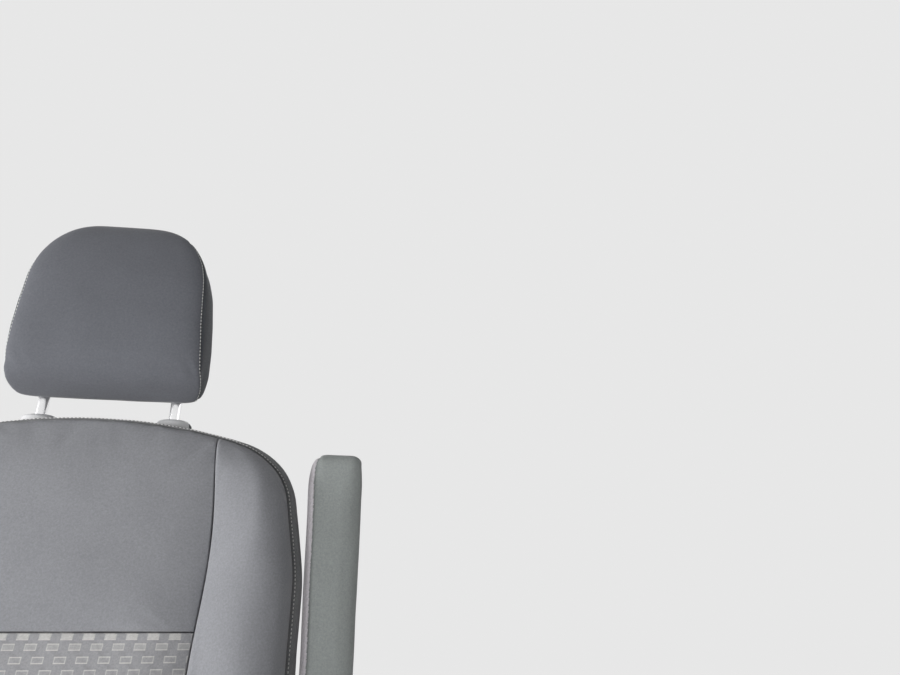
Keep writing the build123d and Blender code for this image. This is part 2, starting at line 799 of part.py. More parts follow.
# Armrest pivot on the inboard side of the backrest: a boss with a pin
armrest_inner = back_half_width + armrest_gap
with BuildPart() as armrest_pivot:
    with BuildSketch(back_side_view.offset(-boss_root)):
        with Locations((armrest_pivot_forward, armrest_along)):
            Circle(armrest_boss_radius)
    extrude(amount=boss_root - armrest_inner + body_gap)
    with BuildSketch(back_side_view.offset(-armrest_inner + body_gap)):
        with Locations((armrest_pivot_forward, armrest_along)):
            Circle(armrest_pin_radius)
    extrude(amount=-armrest_width + armrest_cap)
keep(armrest_pivot, "armrest_pivot")

# Armrest pad: a round heel about the pivot, a flat top and a rounded tip
tip_along = armrest_along + armrest_length
with BuildPart() as armrest_pad:
    with BuildSketch(back_side_view.offset(-armrest_inner)) as arm_profile:
        with Locations((armrest_pivot_forward, armrest_along)):
            Circle(armrest_hub_radius)
        with BuildLine():
            Polyline(
                (armrest_pivot_forward + armrest_hub_radius, armrest_along),
                (armrest_front, armrest_along + armrest_length / 3),
                (armrest_front, tip_along),
                (armrest_rear, tip_along),
                (armrest_rear, armrest_along + armrest_length / 3),
                (armrest_pivot_forward - armrest_hub_radius, armrest_along),
                close=True,
            )
        make_face()
        fillet(arm_profile.vertices().group_by(Axis.Y)[-1], armrest_tip_radius)
    extrude(amount=-armrest_width)
    chamfer(armrest_pad.faces().filter_by(Axis.X).edges(), armrest_edge)
    with BuildSketch(back_side_view.offset(-armrest_inner)):
        with Locations((armrest_pivot_forward, armrest_along)):
            Circle(armrest_sleeve_radius)
    extrude(amount=-armrest_width, mode=Mode.SUBTRACT)
keep(armrest_pad, "armrest_pad")

# Armrest hub: the sleeve that turns on the pin, with a cap on its outer end
with BuildPart() as armrest_hub:
    with BuildSketch(back_side_view.offset(-armrest_inner)):
        with Locations((armrest_pivot_forward, armrest_along)):
            Circle(armrest_sleeve_radius)
    extrude(amount=-armrest_width)
    with BuildSketch(back_side_view.offset(-armrest_inner - armrest_width)):
        with Locations((armrest_pivot_forward, armrest_along)):
            Circle(armrest_cap_radius)
    extrude(amount=-armrest_cap)
    with BuildSketch(back_side_view.offset(-armrest_inner)):
        with Locations((armrest_pivot_forward, armrest_along)):
            Circle(armrest_pin_radius + running_fit)
    extrude(amount=-armrest_width + armrest_cap - body_gap, mode=Mode.SUBTRACT)
keep(armrest_hub, "armrest_hub")
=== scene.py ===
import json
import math

import bmesh
import bpy
import numpy as np
from mathutils import Matrix, Vector, noise
from mathutils.bvhtree import BVHTree


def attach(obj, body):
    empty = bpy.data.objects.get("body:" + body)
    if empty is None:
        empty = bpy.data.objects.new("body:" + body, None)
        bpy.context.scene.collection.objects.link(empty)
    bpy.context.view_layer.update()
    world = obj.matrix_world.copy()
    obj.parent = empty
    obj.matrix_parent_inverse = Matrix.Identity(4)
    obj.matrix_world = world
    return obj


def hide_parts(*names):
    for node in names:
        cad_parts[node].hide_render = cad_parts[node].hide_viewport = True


bl_info = {
    "name": "Front swivel seat",
    "version": (1, 0, 0),
    "blender": (4, 5, 0),
    "location": "View3D > Sidebar > Seat",
    "description": "Covers, stitching, fittings and finishes of a camper van's front swivel seat",
    "category": "Object",
}

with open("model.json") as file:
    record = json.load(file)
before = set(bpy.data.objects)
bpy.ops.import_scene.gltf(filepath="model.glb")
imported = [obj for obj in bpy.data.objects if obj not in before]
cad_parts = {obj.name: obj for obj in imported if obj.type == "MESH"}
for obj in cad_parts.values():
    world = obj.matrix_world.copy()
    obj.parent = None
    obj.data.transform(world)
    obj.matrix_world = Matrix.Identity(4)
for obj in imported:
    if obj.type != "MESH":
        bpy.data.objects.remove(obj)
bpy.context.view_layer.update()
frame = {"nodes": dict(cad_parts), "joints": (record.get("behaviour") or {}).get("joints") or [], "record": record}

MM = 0.001
SIDES = (("inboard", 1), ("outboard", -1))
UV_NAME = "cloth"
# name of the point attribute that holds the painted seam shade: how far the cloth's colour is darkened in its
# seams
SEAM_SHADE = "seam_shade"
STITCH_LIFT = 0.35  # how far a stitch's middle stands above the cloth, in thread radii


# The reclined back has its own axes: across the seat, up along the back, and forward away from it

def joint(name):
    """One joint of the frame."""
    return next(j for j in frame["joints"] if j["name"] == name)


RECLINE_AXIS = Vector(joint("recline")["pos_m"])
BACK_UP = Vector(joint("headrest_height")["axis"]).normalized()
BACK_FORWARD = Vector((0, -BACK_UP.z, BACK_UP.y))
BACK_TURN = Matrix((Vector((1, 0, 0)), BACK_UP, BACK_FORWARD)).transposed().to_4x4()
BACK = Matrix.Translation(RECLINE_AXIS) @ BACK_TURN
SEAT = Matrix.Identity(4)


def read_all(items, name, width=3, kind=float):
    """One value of every item of a mesh as an array."""
    values = np.zeros(len(items) * width, kind)
    items.foreach_get(name, values)
    return values.reshape(-1, width) if width > 1 else values


def transformed(points, matrix):
    """Points moved by a matrix."""
    m = np.array(matrix)
    return np.asarray(points) @ m[:3, :3].T + m[:3, 3]


def node_points(node, axes=SEAT):
    """The points of a CAD node, measured along the given axes."""
    return transformed(read_all(frame["nodes"][node].data.vertices, "co"), axes.inverted())


def node_box(node, axes=SEAT):
    """Lowest and highest corner of a CAD node along the given axes."""
    points = node_points(node, axes)
    return points.min(0), points.max(0)


def smooth_step(low, high, value):
    """0 below low, 1 above high and a smooth change between them."""
    t = np.clip((value - low) / (high - low), 0, 1)
    return t * t * (3 - 2 * t)


def gathered(t, share=0.7):
    """Steps from 0 to 1 that lie closer together at both ends."""
    return t - share * np.sin(2 * math.pi * t) / (2 * math.pi)


def walked(line):
    """How far along a line each of its places lies."""
    return np.concatenate(([0], np.cumsum(np.linalg.norm(np.diff(line, axis=0), axis=1))))


def line_at(line, distances):
    """The places on a line at some distances along it."""
    steps = walked(line)
    return np.stack([np.interp(distances, steps, line[:, k]) for k in range(line.shape[1])], -1)


def quads(index, *corners):
    """The faces of a grid of point numbers, with the order of each face's corners as row and column."""
    ends = slice(None, -1), slice(1, None)
    return np.stack([index[ends[row], ends[column]] for row, column in corners], -1).reshape(-1, 4)


def gap_to(line, points):
    """The distance from each point to the nearest point of a line, up to 1 m."""
    near = np.full(points.shape[:-1], 1.0)
    for start in range(0, len(line), 60):
        part = line[start:start + 60]
        near = np.minimum(near, np.linalg.norm(points[..., None, :] - part, axis=-1).min(-1))
    return near


# Objects and meshes

def only(piece):
    """Selects one object and makes it active."""
    bpy.ops.object.select_all(action="DESELECT")
    piece.select_set(True)
    bpy.context.view_layer.objects.active = piece


def settle(piece):
    """Applies the piece's place, turn and size to its mesh."""
    only(piece)
    bpy.ops.object.transform_apply(location=True, rotation=True, scale=True)
    return piece


def apply_modifier(piece, kind, **settings):
    """Adds one modifier, sets it and applies it."""
    only(piece)
    made = piece.modifiers.new(kind.lower(), kind)
    for key, value in settings.items():
        setattr(made, key, value)
    bpy.ops.object.modifier_apply(modifier=made.name)
    return piece


def subdivide(piece):
    """One round of smooth subdivision, applied."""
    apply_modifier(piece, "SUBSURF", levels=1, render_levels=1)


def remesh(piece, voxel, rounds, shrink=0.0):
    """Makes the piece of small even faces, shrinks it and rounds it off."""
    apply_modifier(piece, "REMESH", mode="VOXEL", voxel_size=voxel, adaptivity=0)
    if shrink:
        sink(piece, shrink)
    apply_modifier(piece, "SMOOTH", factor=0.5, iterations=rounds)


def second_material(piece, picked):
    """Gives the picked faces the piece's second material."""
    piece.data.polygons.foreach_set("material_index", picked.astype(np.int32))


def mesh_object(name, points, faces, axes=SEAT):
    """A new object from points along the given axes, with its faces turned outwards."""
    mesh = bpy.data.meshes.new(name)
    mesh.from_pydata([tuple(p) for p in transformed(points, axes)], [], faces)
    made = bmesh.new()
    made.from_mesh(mesh)
    bmesh.ops.recalc_face_normals(made, faces=made.faces)
    made.to_mesh(mesh)
    made.free()
    piece = bpy.data.objects.new(name, mesh)
    bpy.context.scene.collection.objects.link(piece)
    return piece


def read_points(piece):
    """The points of a mesh as an array."""
    return read_all(piece.data.vertices, "co")


def back_points(piece):
    """The points of a mesh along the axes of the back."""
    return transformed(read_points(piece), BACK.inverted())


def write_points(piece, points):
    """Moves the points of a mesh."""
    piece.data.vertices.foreach_set("co", np.asarray(points, float).ravel())
    piece.data.update()


def sink(piece, depth):
    """Moves the points of a mesh inwards along its normals, by one depth or one for each point."""
    normals = read_all(piece.data.vertex_normals, "vector")
    write_points(piece, read_points(piece) - normals * np.reshape(depth, (-1, 1)))


def finish(piece, body, material, angle=60):
    """Smooth shading, material, body and material slot of a finished piece."""
    only(piece)
    bpy.ops.object.shade_smooth_by_angle(angle=math.radians(angle))
    piece.data.materials.append(material)
    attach(piece, body)
    return piece


def lay_cloth(piece, axes):
    """A UV map in metres: the weave follows the side of the piece that each face is on."""
    mesh = piece.data
    layer = mesh.uv_layers.get(UV_NAME) or mesh.uv_layers.new(name=UV_NAME)
    turn = np.array(axes.inverted())[:3, :3]
    side = np.abs(read_all(mesh.polygons, "normal") @ turn.T).argmax(1)
    starts, counts = (read_all(mesh.polygons, name, 1, int) for name in ("loop_start", "loop_total"))
    side = np.repeat(side, counts)[np.argsort(np.repeat(starts, counts), kind="stable")]
    corners = read_all(mesh.loops, "vertex_index", 1, int)
    local = transformed(read_points(piece), axes.inverted())[corners]
    pick = np.array(((1, 2), (0, 2), (0, 1)))[side]
    flat = np.take_along_axis(local, pick, axis=1)
    layer.data.foreach_set("uv", flat.ravel())


def paint_seam_shade(piece, amount):
    """Stores how deep in a seam each point lies, from 0 to 1, as painted seam shade that darkens the cloth's
    colour.
    """
    marks = piece.data.attributes.new(SEAM_SHADE, "FLOAT", "POINT")
    marks.data.foreach_set("value", np.clip(amount, 0, 1).astype(np.float32))


def surface_of(piece):
    """A search tree of a finished piece's surface."""
    bpy.context.view_layer.update()
    return BVHTree.FromObject(piece, bpy.context.evaluated_depsgraph_get())


def cover(piece, body, material, node, second=None, axes=BACK):
    """Lays the cloth on a padded cover and finishes it. It shows in place of its CAD node."""
    lay_cloth(piece, axes)
    finish(piece, body, material)
    if second:
        piece.data.materials.append(second)
    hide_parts(node)


# Padding

CLOTH = {
    "quality": 6, "tension_stiffness": 20, "compression_stiffness": 20, "shear_stiffness": 8,
    "bending_stiffness": 1.5, "air_damping": 4, "use_pressure": True}
CLOTH_FRAMES = 20
CLOTH_PRESSURE = 3.0


def swell(piece, held, reach, pressure=CLOTH_PRESSURE):
    """Fills a closed cover: cloth under pressure with some points held, none moving past its reach."""
    rest = read_points(piece)
    group = piece.vertex_groups.new(name="held")
    group.add([int(i) for i in np.flatnonzero(held)], 1.0, "REPLACE")
    cloth = piece.modifiers.new("cloth", "CLOTH")
    for key, value in CLOTH.items():
        setattr(cloth.settings, key, value)
    cloth.settings.uniform_pressure_force = pressure
    cloth.settings.effector_weights.gravity = 0
    cloth.settings.vertex_group_mass = group.name
    cloth.collision_settings.use_collision = False
    scene = bpy.context.scene
    for step in range(1, CLOTH_FRAMES + 1):
        scene.frame_set(step)
    move = read_points(piece.evaluated_get(bpy.context.evaluated_depsgraph_get())) - rest
    length = np.linalg.norm(move, axis=1, keepdims=True)
    piece.modifiers.remove(cloth)
    piece.vertex_groups.remove(group)
    write_points(piece, rest + move * np.minimum(1, reach / np.maximum(length, 1e-9)))
    scene.frame_set(1)


def soften(piece, amount, size, seed):
    """Small uneven rises and hollows of padding under cloth, along the surface's normal."""
    shift = Vector((seed, 0.37 * seed, 1.7 * seed))
    wave = np.array([noise.noise(Vector(p) / size + shift) for p in read_points(piece)])
    sink(piece, -wave * amount)


def ridge(distance, width):
    """1 on a line and fading to 0 within about twice a width beside it."""
    return np.exp(-((distance / width) ** 2))


def stitch_row(name, line, surface, body):
    """A row of short stitches along a line of points, each lying on the surface below it."""
    sewing = bpy.context.scene.seat_sewing
    radius, length = sewing.thread_radius, sewing.stitch_length
    distances = np.arange(sewing.stitch_pitch / 2, walked(line)[-1], sewing.stitch_pitch)
    places = []
    for centre, front in zip(line_at(line, distances), line_at(line, distances + length / 4)):
        spot, normal, _, _ = surface.find_nearest(Vector(centre))
        course = Vector(front - centre)
        course = (course - normal * course.dot(normal)).normalized()
        place = np.eye(4)
        side = normal.cross(course)
        place[:3, :3] = np.array((course * (length / 2), side * radius, normal * radius)).T
        place[:3, 3] = spot + normal * radius * STITCH_LIFT
        places.append(place)
    pattern = primitive("uv_sphere", "stitch_pattern", segments=6, ring_count=4, radius=1)
    finish(copies(name, pattern, places), body, bpy.data.materials["thread"])


# Finishes

class Value:
    """An output of a node. Arithmetic on it adds Math nodes."""

    def __init__(self, shader, socket):
        self.shader = shader
        self.socket = socket

    def math(self, operation, *others):
        """One Math node with this number first."""
        return self.shader.value("Math", dict(enumerate((self, *others))), operation=operation)

    def __add__(self, other):
        return self.math("ADD", other)

    def __mul__(self, other):
        return self.math("MULTIPLY", other)

    def __sub__(self, other):
        return self.math("SUBTRACT", other)

    def __truediv__(self, other):
        return self.math("DIVIDE", other)

    def __rsub__(self, other):
        return self.shader.value("Math", {0: other, 1: self}, operation="SUBTRACT")

    def step(self, low, high):
        """0 below low, 1 above high."""
        return self.shader.value("MapRange", {"Value": self, "From Min": low, "From Max": high},
                                 interpolation_type="SMOOTHSTEP")

    def varied(self, spread):
        """A shade round 1 that changes with the number."""
        return self * spread + (1 - spread / 2)

    def off_middle(self):
        """How far the number is from the middle between the whole numbers beside it."""
        return (self - self.math("FLOOR") - 0.5).math("ABSOLUTE")


class Shader:
    """The nodes of a new material, or of a world."""

    def __init__(self, name, owner=None):
        self.owner = owner or bpy.data.materials.new(name)
        self.owner.use_nodes = True
        self.tree = self.owner.node_tree
        self.tree.nodes.clear()

    def node(self, kind, inputs=None, **settings):
        """Adds a node, sets it and then sets or links its sockets."""
        made = self.tree.nodes.new(f"ShaderNode{kind}")
        for key, value in settings.items():
            setattr(made, key, value)
        for key, value in (inputs or {}).items():
            if isinstance(value, Value):
                self.tree.links.new(value.socket, made.inputs[key])
            else:
                made.inputs[key].default_value = value
        return made

    def value(self, kind, inputs=None, output=0, **settings):
        """Adds a node and gives one of its outputs."""
        return Value(self, self.node(kind, inputs, **settings).outputs[output])

    def place(self):
        """The place on the object."""
        return self.value("TexCoord", output="Object")

    def noise(self, where, scale, detail=2.0, roughness=0.5):
        """Soft noise from 0 to 1."""
        return self.value("TexNoise", {
            "Vector": where, "Scale": scale, "Detail": detail, "Roughness": roughness})

    def seen(self):
        """1 for what the camera sees, straight or in a reflection, and 0 for what only lights."""
        straight = self.value("LightPath", output="Is Camera Ray")
        return straight.math("MAXIMUM", self.value("LightPath", output="Is Glossy Ray"))

    def mix(self, factor, first, second):
        """The first colour turning into the second."""
        return self.value("Mix", {0: factor, 6: first, 7: second}, 2, data_type="RGBA")

    def tint(self, colour, shade):
        """A colour made lighter or darker by a number."""
        return self.value("VectorMath", {0: colour[:3], "Scale": shade}, operation="SCALE")

    def bump(self, height, distance, strength):
        """A surface relief from a height of 0 to 1."""
        return self.value("Bump", {"Height": height, "Distance": distance, "Strength": strength})

    def surface(self, **inputs):
        """The surface shader and the material's output. Gives the finished material."""
        named = {key.replace("_", " "): value for key, value in inputs.items()}
        self.node("OutputMaterial", {"Surface": self.value("BsdfPrincipled", named)})
        return self.owner


def woven(name, colour, rows=None):
    """Fine plain-woven cloth, darkened by painted shade in its seams. Below the height of rows it has rows of
    small light blocks.
    """
    cloth = bpy.context.scene.seat_cloth
    m = Shader(name)
    split = m.node("SeparateXYZ", {"Vector": m.value("UVMap", uv_map=UV_NAME)}).outputs
    across, along = Value(m, split["X"]), Value(m, split["Y"])
    turns = math.pi / cloth.weave
    float_height = ((across * turns).math("SINE") * (along * turns).math("SINE")).math("ABSOLUTE")
    place = m.place()
    melange = m.noise(place, 520.0, 3.0, 0.65)
    fleck = m.noise(place, 360.0, 2.0, 0.6)
    cloud = m.noise(place, 16.0, 3.0)
    seam_shade = m.value("Attribute", output=2, attribute_name=SEAM_SHADE)
    shade = float_height.varied(0.14) * melange.varied(0.50) * fleck.varied(0.26) * cloud.varied(0.18)
    # painted shade: the colour is darkened in the seams by up to 0.62, by the amount stored on each point
    shade = shade * (1.0 - seam_shade * 0.62)
    base = m.tint(colour, shade)
    if rows:
        light, fill, streak = block_masks(m, across, along, rows)
        base = m.tint(colour, shade * (1.0 - streak * 0.10))
        light_thread = m.tint(cloth.block_colour, shade)
        base = m.mix(light, m.mix(fill, base, light_thread), light_thread)
    return m.surface(
        Base_Color=base,
        Roughness=melange * 0.12 + 0.80,
        Normal=m.bump(float_height * 0.6 + melange * 0.6, 0.00022, 0.55),
        Sheen_Weight=0.18,
        Sheen_Roughness=0.45,
        Specular_IOR_Level=0.28,
    )


def block_masks(m, across, along, top):
    """Rows of blocks below a height: light outlines, fills that fade row by row, slanted streaks."""
    cloth = bpy.context.scene.seat_cloth
    down = (along * -1.0 + top) / cloth.row_pitch
    down = down - 0.08 - (1.0 - down.step(1.08, 1.27)) * 0.19
    row = down.math("FLOOR")
    in_row = down.off_middle() * cloth.row_pitch
    column = (across - row * cloth.row_shift + 6.2 * MM) / cloth.block_pitch
    in_column = column.off_middle() * cloth.block_pitch
    edge, soft = 1.0 * MM, 0.4 * MM

    def inside(distance, half):
        return 1.0 - distance.step(half - soft, half)

    tall, wide = inside(in_row, cloth.block_height / 2), inside(in_column, cloth.block_width / 2)
    inner_tall = inside(in_row, cloth.block_height / 2 - edge)
    inner_wide = inside(in_column, cloth.block_width / 2 - edge)
    below = down.step(-0.02, 0.0)
    first, second = 1.0 - row.step(0.4, 0.6), 1.0 - row.step(1.4, 1.6)
    level_edges = tall * wide * (1.0 - inner_tall)
    upright_edges = inner_tall * wide * (1.0 - inner_wide)
    light = (level_edges * 0.88 + upright_edges * 0.6) * below
    fill = inner_tall * inner_wide * below * (first * 0.50 + second * 0.16 + 0.12)
    slanted = (across - down * cloth.row_shift) / cloth.block_pitch
    return light, fill, slanted.off_middle().step(0.22, 0.5)


def thread(name, colour):
    """Twisted sewing thread."""
    m = Shader(name)
    strands = m.noise(m.place(), 2400.0)
    return m.surface(
        Base_Color=m.tint(colour, strands.varied(0.4)),
        Roughness=0.6,
        Sheen_Weight=0.2,
        Normal=m.bump(strands, 0.0001, 0.5),
    )


def coated(name, colour, roughness, grain=900.0, relief=0.00006, scuffs=0.12, metallic=0.0, coat=0.0):
    """A painted, plated or moulded surface with a fine grain, broad shade and scuffs."""
    m = Shader(name)
    place = m.place()
    fine = m.noise(place, grain, 3.0, 0.6)
    broad = m.noise(place, 9.0, 4.0, 0.55)
    rubbed = m.noise(place, 55.0, 5.0, 0.7).step(0.56, 0.74)
    return m.surface(
        Base_Color=m.tint(colour, fine.varied(0.10) * broad.varied(0.14) * (rubbed * scuffs + 1.0)),
        Roughness=fine * 0.08 + broad * 0.10 + rubbed * 0.10 + (roughness - 0.12),
        Metallic=metallic,
        Coat_Weight=coat,
        Coat_Roughness=0.15,
        Normal=m.bump(fine, relief, 0.6),
    )


def steel(name, colour, roughness):
    """Rolled steel with fine lines along the rails."""
    m = Shader(name)
    place = m.place()
    lines = m.noise(m.value("Mapping", {"Vector": place, "Scale": (1.0, 0.03, 1.0)}), 1800.0)
    blotch = m.noise(place, 40.0, 4.0, 0.6)
    return m.surface(
        Base_Color=m.tint(colour, lines.varied(0.16) * blotch.varied(0.2)),
        Metallic=1.0,
        Roughness=lines * 0.14 + blotch * 0.16 + (roughness - 0.15),
        Normal=m.bump(lines, 0.00003, 0.4),
    )


# Settings that a user would change

def number(name, text, default, **more):
    """A number, with its unit or subtype."""
    return bpy.props.FloatProperty(name=name, description=text, default=default, **more)


def size(name, text, default):
    """A length in metres."""
    return number(name, text, default, unit="LENGTH", precision=4)


def colour(name, text, default):
    """A colour."""
    return bpy.props.FloatVectorProperty(
        name=name, description=text, default=default, subtype="COLOR", size=3, min=0, max=1)


class SEAT_PG_cloth(bpy.types.PropertyGroup):
    plain_colour: colour("Plain cloth", "Cloth of the back and the cushion", (0.262, 0.266, 0.284))
    insert_colour: colour("Patterned cloth", "Ground of the woven blocks", (0.325, 0.325, 0.338))
    # the headrest's cloth and its gussets' cloth are darker copies of the plain cloth: painted shade, the gussets
    # the darkest
    headrest_shaded_colour: colour("Headrest cloth", "Cloth of the headrest", (0.128, 0.133, 0.150))
    headrest_gusset_shaded_colour: colour("Headrest gusset", "Sides of the headrest", (0.078, 0.084, 0.094))
    # the back's gusset cloth is a darker copy of the plain cloth: painted shade on the back's sides
    gusset_shaded_colour: colour("Gusset cloth", "Cloth of the gusset round the back", (0.215, 0.218, 0.222))
    # the armrest's cloths are lighter copies of the plain cloth: painted light, much stronger on the inner side
    # panel
    armrest_lit_colour: colour("Armrest cloth", "Cloth of the armrest", (0.318, 0.340, 0.333))
    armrest_side_lit_colour: colour("Armrest side", "Inner side of the armrest", (0.62, 0.59, 0.62))
    block_colour: colour("Block thread", "Light thread of the woven blocks", (0.60, 0.59, 0.57))
    thread_colour: colour("Topstitch", "Sewing thread", (0.82, 0.82, 0.80))
    weave: size("Weave", "Distance between the threads of the weave", 0.9 * MM)
    block_width: size("Block width", "Width of a woven block", 12.2 * MM)
    block_height: size("Block height", "Height of a woven block", 7.2 * MM)
    block_pitch: size("Block pitch", "Distance between blocks of one row", 21.6 * MM)
    row_pitch: size("Row pitch", "Distance between rows of blocks", 12.4 * MM)
    row_shift: size("Row shift", "How far each row is moved sideways from the one above", 10.1 * MM)


class SEAT_PG_sewing(bpy.types.PropertyGroup):
    rim_inset: size("Rim inset", "Distance of the rim seam from the outline of the back", 6.0 * MM)
    side_inset: size("Side inset", "How much further in the rim seam lies at the sides", 4.2 * MM)
    seam_bow: size("Seam bow", "How far the bolster seams bow outwards at the chest", 6.5 * MM)
    rim_roll: size("Rim roll", "Width over which the front rounds off to the rim seam", 38.0 * MM)
    stitch_pitch: size("Stitch pitch", "Distance between two stitches", 4.5 * MM)
    stitch_length: size("Stitch length", "Length of a stitch", 3.1 * MM)
    thread_radius: size("Thread radius", "Half of the thread's thickness", 0.55 * MM)


class SEAT_PG_headrest(bpy.types.PropertyGroup):
    shoulder: number("Shoulder", "Squareness of the upper corners", 3.4)
    foot: number("Foot", "Squareness of the lower corners", 15.0)
    girth: number("Girth", "Squareness of the level sections", 8.0)


class SEAT_PG_stage(bpy.types.PropertyGroup):
    camera_place: bpy.props.FloatVectorProperty(
        name="Camera", description="Place of the camera", default=(0.301, -0.5485, 1.0424),
        subtype="TRANSLATION")
    camera_turn: number("Turn", "Turn of the camera to the right", math.radians(8.389), subtype="ANGLE")
    camera_rise: number("Rise", "Tilt of the camera upwards", math.radians(11.117), subtype="ANGLE")
    camera_roll: number("Roll", "Roll of the camera", math.radians(1.909), subtype="ANGLE")
    lens: number("Lens", "Focal length in millimetres", 27.6)
    floor_colour: colour("Floor", "Colour of the floor", (0.78, 0.78, 0.77))


# Outline and depth of the back

SPLIT_DROP = 2 * MM  # the insert's upper seam lies this far below the top of its CAD pad
CROWN_DROP = 1.9 * MM  # the rim is this much lower at the crown than the CAD core
SEAM_LIFT = 3.5 * MM  # the rim seam lies this far in front of the split plane
CROWN_LIFT = 4.5 * MM  # and this much further at the crown
LUMBAR_RISE = 14 * MM  # the insert bulges forward this far at half its height
UPPER_SLOPE = 0.081  # the front falls back by this share of the height above the insert
CLOTH_SETTLE = 3 * MM  # the padding starts this far behind the CAD and swells forward
SEAM_HOLLOW = 0.8 * MM  # depth of the narrow groove at a seam
REAR_OVERLAP = 3 * MM  # the panels reach this far behind the split plane
TOPSTITCH_AWAY = 2.7 * MM  # from the rim seam out to its topstitch on the gusset
FIRST_ROW_RISE = 5.2 * MM  # the woven rows start this far above the insert's upper seam
PANEL_GRIDS = {"center": (66, 54), "insert": (66, 82), "bolster": (32, 124)}


def front_outline(node, digits):
    """The places on the outline of a node's front face, and the middle of their heights."""
    points = node_points(node, BACK)
    half = points[(points[:, 2] > points[:, 2].max() - 0.2 * MM) & (points[:, 0] < 1 * MM)][:, :2]
    places = np.unique(np.round(np.vstack((half, half * (-1, 1))), digits), axis=0)
    return places, (places[:, 1].min() + places[:, 1].max()) / 2


def back_rim(count=420):
    """The outline of the back at its split plane, as even steps from the middle of its foot."""
    rim, middle = front_outline("back_core", 6)
    rim = rim[np.argsort(np.arctan2(rim[:, 0], -(rim[:, 1] - middle)) % (2 * math.pi))]
    rim = np.vstack((rim, rim[:1]))
    even = line_at(rim, np.linspace(0, walked(rim)[-1], count, endpoint=False))
    even[:, 1] -= CROWN_DROP * crown_share(even[:, 1])
    return even


def crown_share(along):
    """How much a height belongs to the back's crown, where the rim seam lies further forward."""
    top = node_box("back_core", BACK)[1][1]
    return smooth_step(top - 72 * MM, top - 28 * MM, along)


def seam_lift(along):
    """How far the rim seam lies in front of the split plane of the back."""
    return SEAM_LIFT + CROWN_LIFT * crown_share(along)


def rounded(line, count, passes=2):
    """An open line of places with its corners cut round, as evenly spaced places."""
    for _ in range(passes):
        cut = np.stack((line[:-1] * 0.75 + line[1:] * 0.25, line[:-1] * 0.25 + line[1:] * 0.75), 1)
        line = np.vstack((line[:1], cut.reshape(-1, line.shape[1]), line[-1:]))
    return line_at(line, np.linspace(0, walked(line)[-1], count))


def inset(loop, distance):
    """A closed outline moved inwards."""
    course = np.roll(loop, -1, axis=0) - np.roll(loop, 1, axis=0)
    course /= np.linalg.norm(course, axis=1, keepdims=True)
    inward = np.stack((-course[:, 1], course[:, 0]), 1)
    middle = loop.mean(0)
    if ((middle - loop[0]) @ inward[0]) < 0:
        inward = -inward
    return loop + inward * distance


def rim_seam(rim):
    """The seam of front and gusset: near the edge at crown and foot, further in at the sides."""
    sewing = bpy.context.scene.seat_sewing
    side = smooth_step(150 * MM, 225 * MM, np.abs(rim[:, 0]))
    side = side * smooth_step(90 * MM, 160 * MM, rim[:, 1])
    return inset(rim, (sewing.rim_inset + sewing.side_inset * side)[:, None])


def seam_x(along):
    """Half width between the bolster seams at a height along the back, bowed outwards at the chest."""
    chest, spread, taper = 565 * MM, 85 * MM, 4.5 * MM
    half = node_box("back_center_pad", BACK)[1][0] - taper * smooth_step(600 * MM, 725 * MM, along)
    return half + bpy.context.scene.seat_sewing.seam_bow * np.exp(-(((along - chest) / spread) ** 2))


def front_depth(across, along, rim):
    """How far the padding stands forward at a place on the front of the back."""
    low, high = node_box("back_insert_pad", BACK)
    side = node_box("back_bolster_inboard", BACK)[1]
    lumbar, split = high[2], high[1] - SPLIT_DROP
    t = np.clip((along - low[1]) / (split - low[1]), 0, 1)
    depth = lumbar - LUMBAR_RISE + LUMBAR_RISE * 4 * t * (1 - t)
    above = along - split
    depth = depth - UPPER_SLOPE * np.maximum(0, above) - CLOTH_SETTLE
    seam = seam_x(along)
    outside = np.abs(across) - seam
    share = np.clip(outside / (side[0] - seam), 0, 1)
    rise = (side[2] - lumbar) * smooth_step(0, 0.55, share)
    rise = rise * (1 - 0.75 * smooth_step(590 * MM, 715 * MM, along))
    rise = rise * (0.5 + 0.5 * smooth_step(80 * MM, 200 * MM, along))
    round_off = 0.42 + 0.58 * smooth_step(95 * MM, 170 * MM, along)
    round_off = bpy.context.scene.seat_sewing.rim_roll * round_off
    near = gap_to(rim, np.stack((across, along), -1))
    roll = (1 - (1 - np.clip(near / round_off, 0, 1)) ** 2.4) ** (1 / 2.4)
    edge = node_box("back_core", BACK)[1][2] + seam_lift(along)
    depth = edge + (depth + rise - edge) * roll
    return depth - seam_dip(outside, above) * roll


def seam_dip(outside, above):
    """How deep the seams pull the front in, beside the bolster seams and at the insert's upper seam."""
    low_part = 1 - smooth_step(40 * MM, 140 * MM, above)
    hollow = 3 * MM + 8 * MM * low_part
    centre = hollow * np.exp(outside / ((11 + 8 * low_part) * MM))
    centre = centre + SEAM_HOLLOW * np.exp(outside / (1.8 * MM))
    bolster = (hollow + SEAM_HOLLOW) * np.exp(-outside / (1.5 * MM))
    split = 1.3 * MM * np.exp(np.where(above > 0, -above / (3 * MM), above / (8 * MM)))
    dip = np.where(outside < 0, centre, bolster)
    return np.where(outside < 1 * MM, np.maximum(dip, split), dip)


def patch(bottom, top, left, right, columns, rows):
    """A grid of places between four edges, each a line of places with ends that meet."""
    def at(line, t):
        return line_at(line, t * walked(line)[-1])

    a = gathered(np.linspace(0, 1, columns))[None, :, None]
    b = gathered(np.linspace(0, 1, rows))[:, None, None]
    low, high = at(bottom, a[0, :, 0])[None], at(top, a[0, :, 0])[None]
    near, far = at(left, b[:, 0, 0])[:, None], at(right, b[:, 0, 0])[:, None]
    corners = (1 - a) * (1 - b) * bottom[0] + a * (1 - b) * bottom[-1]
    corners = corners + (1 - a) * b * top[0] + a * b * top[-1]
    return (1 - b) * low + b * high + (1 - a) * near + a * far - corners


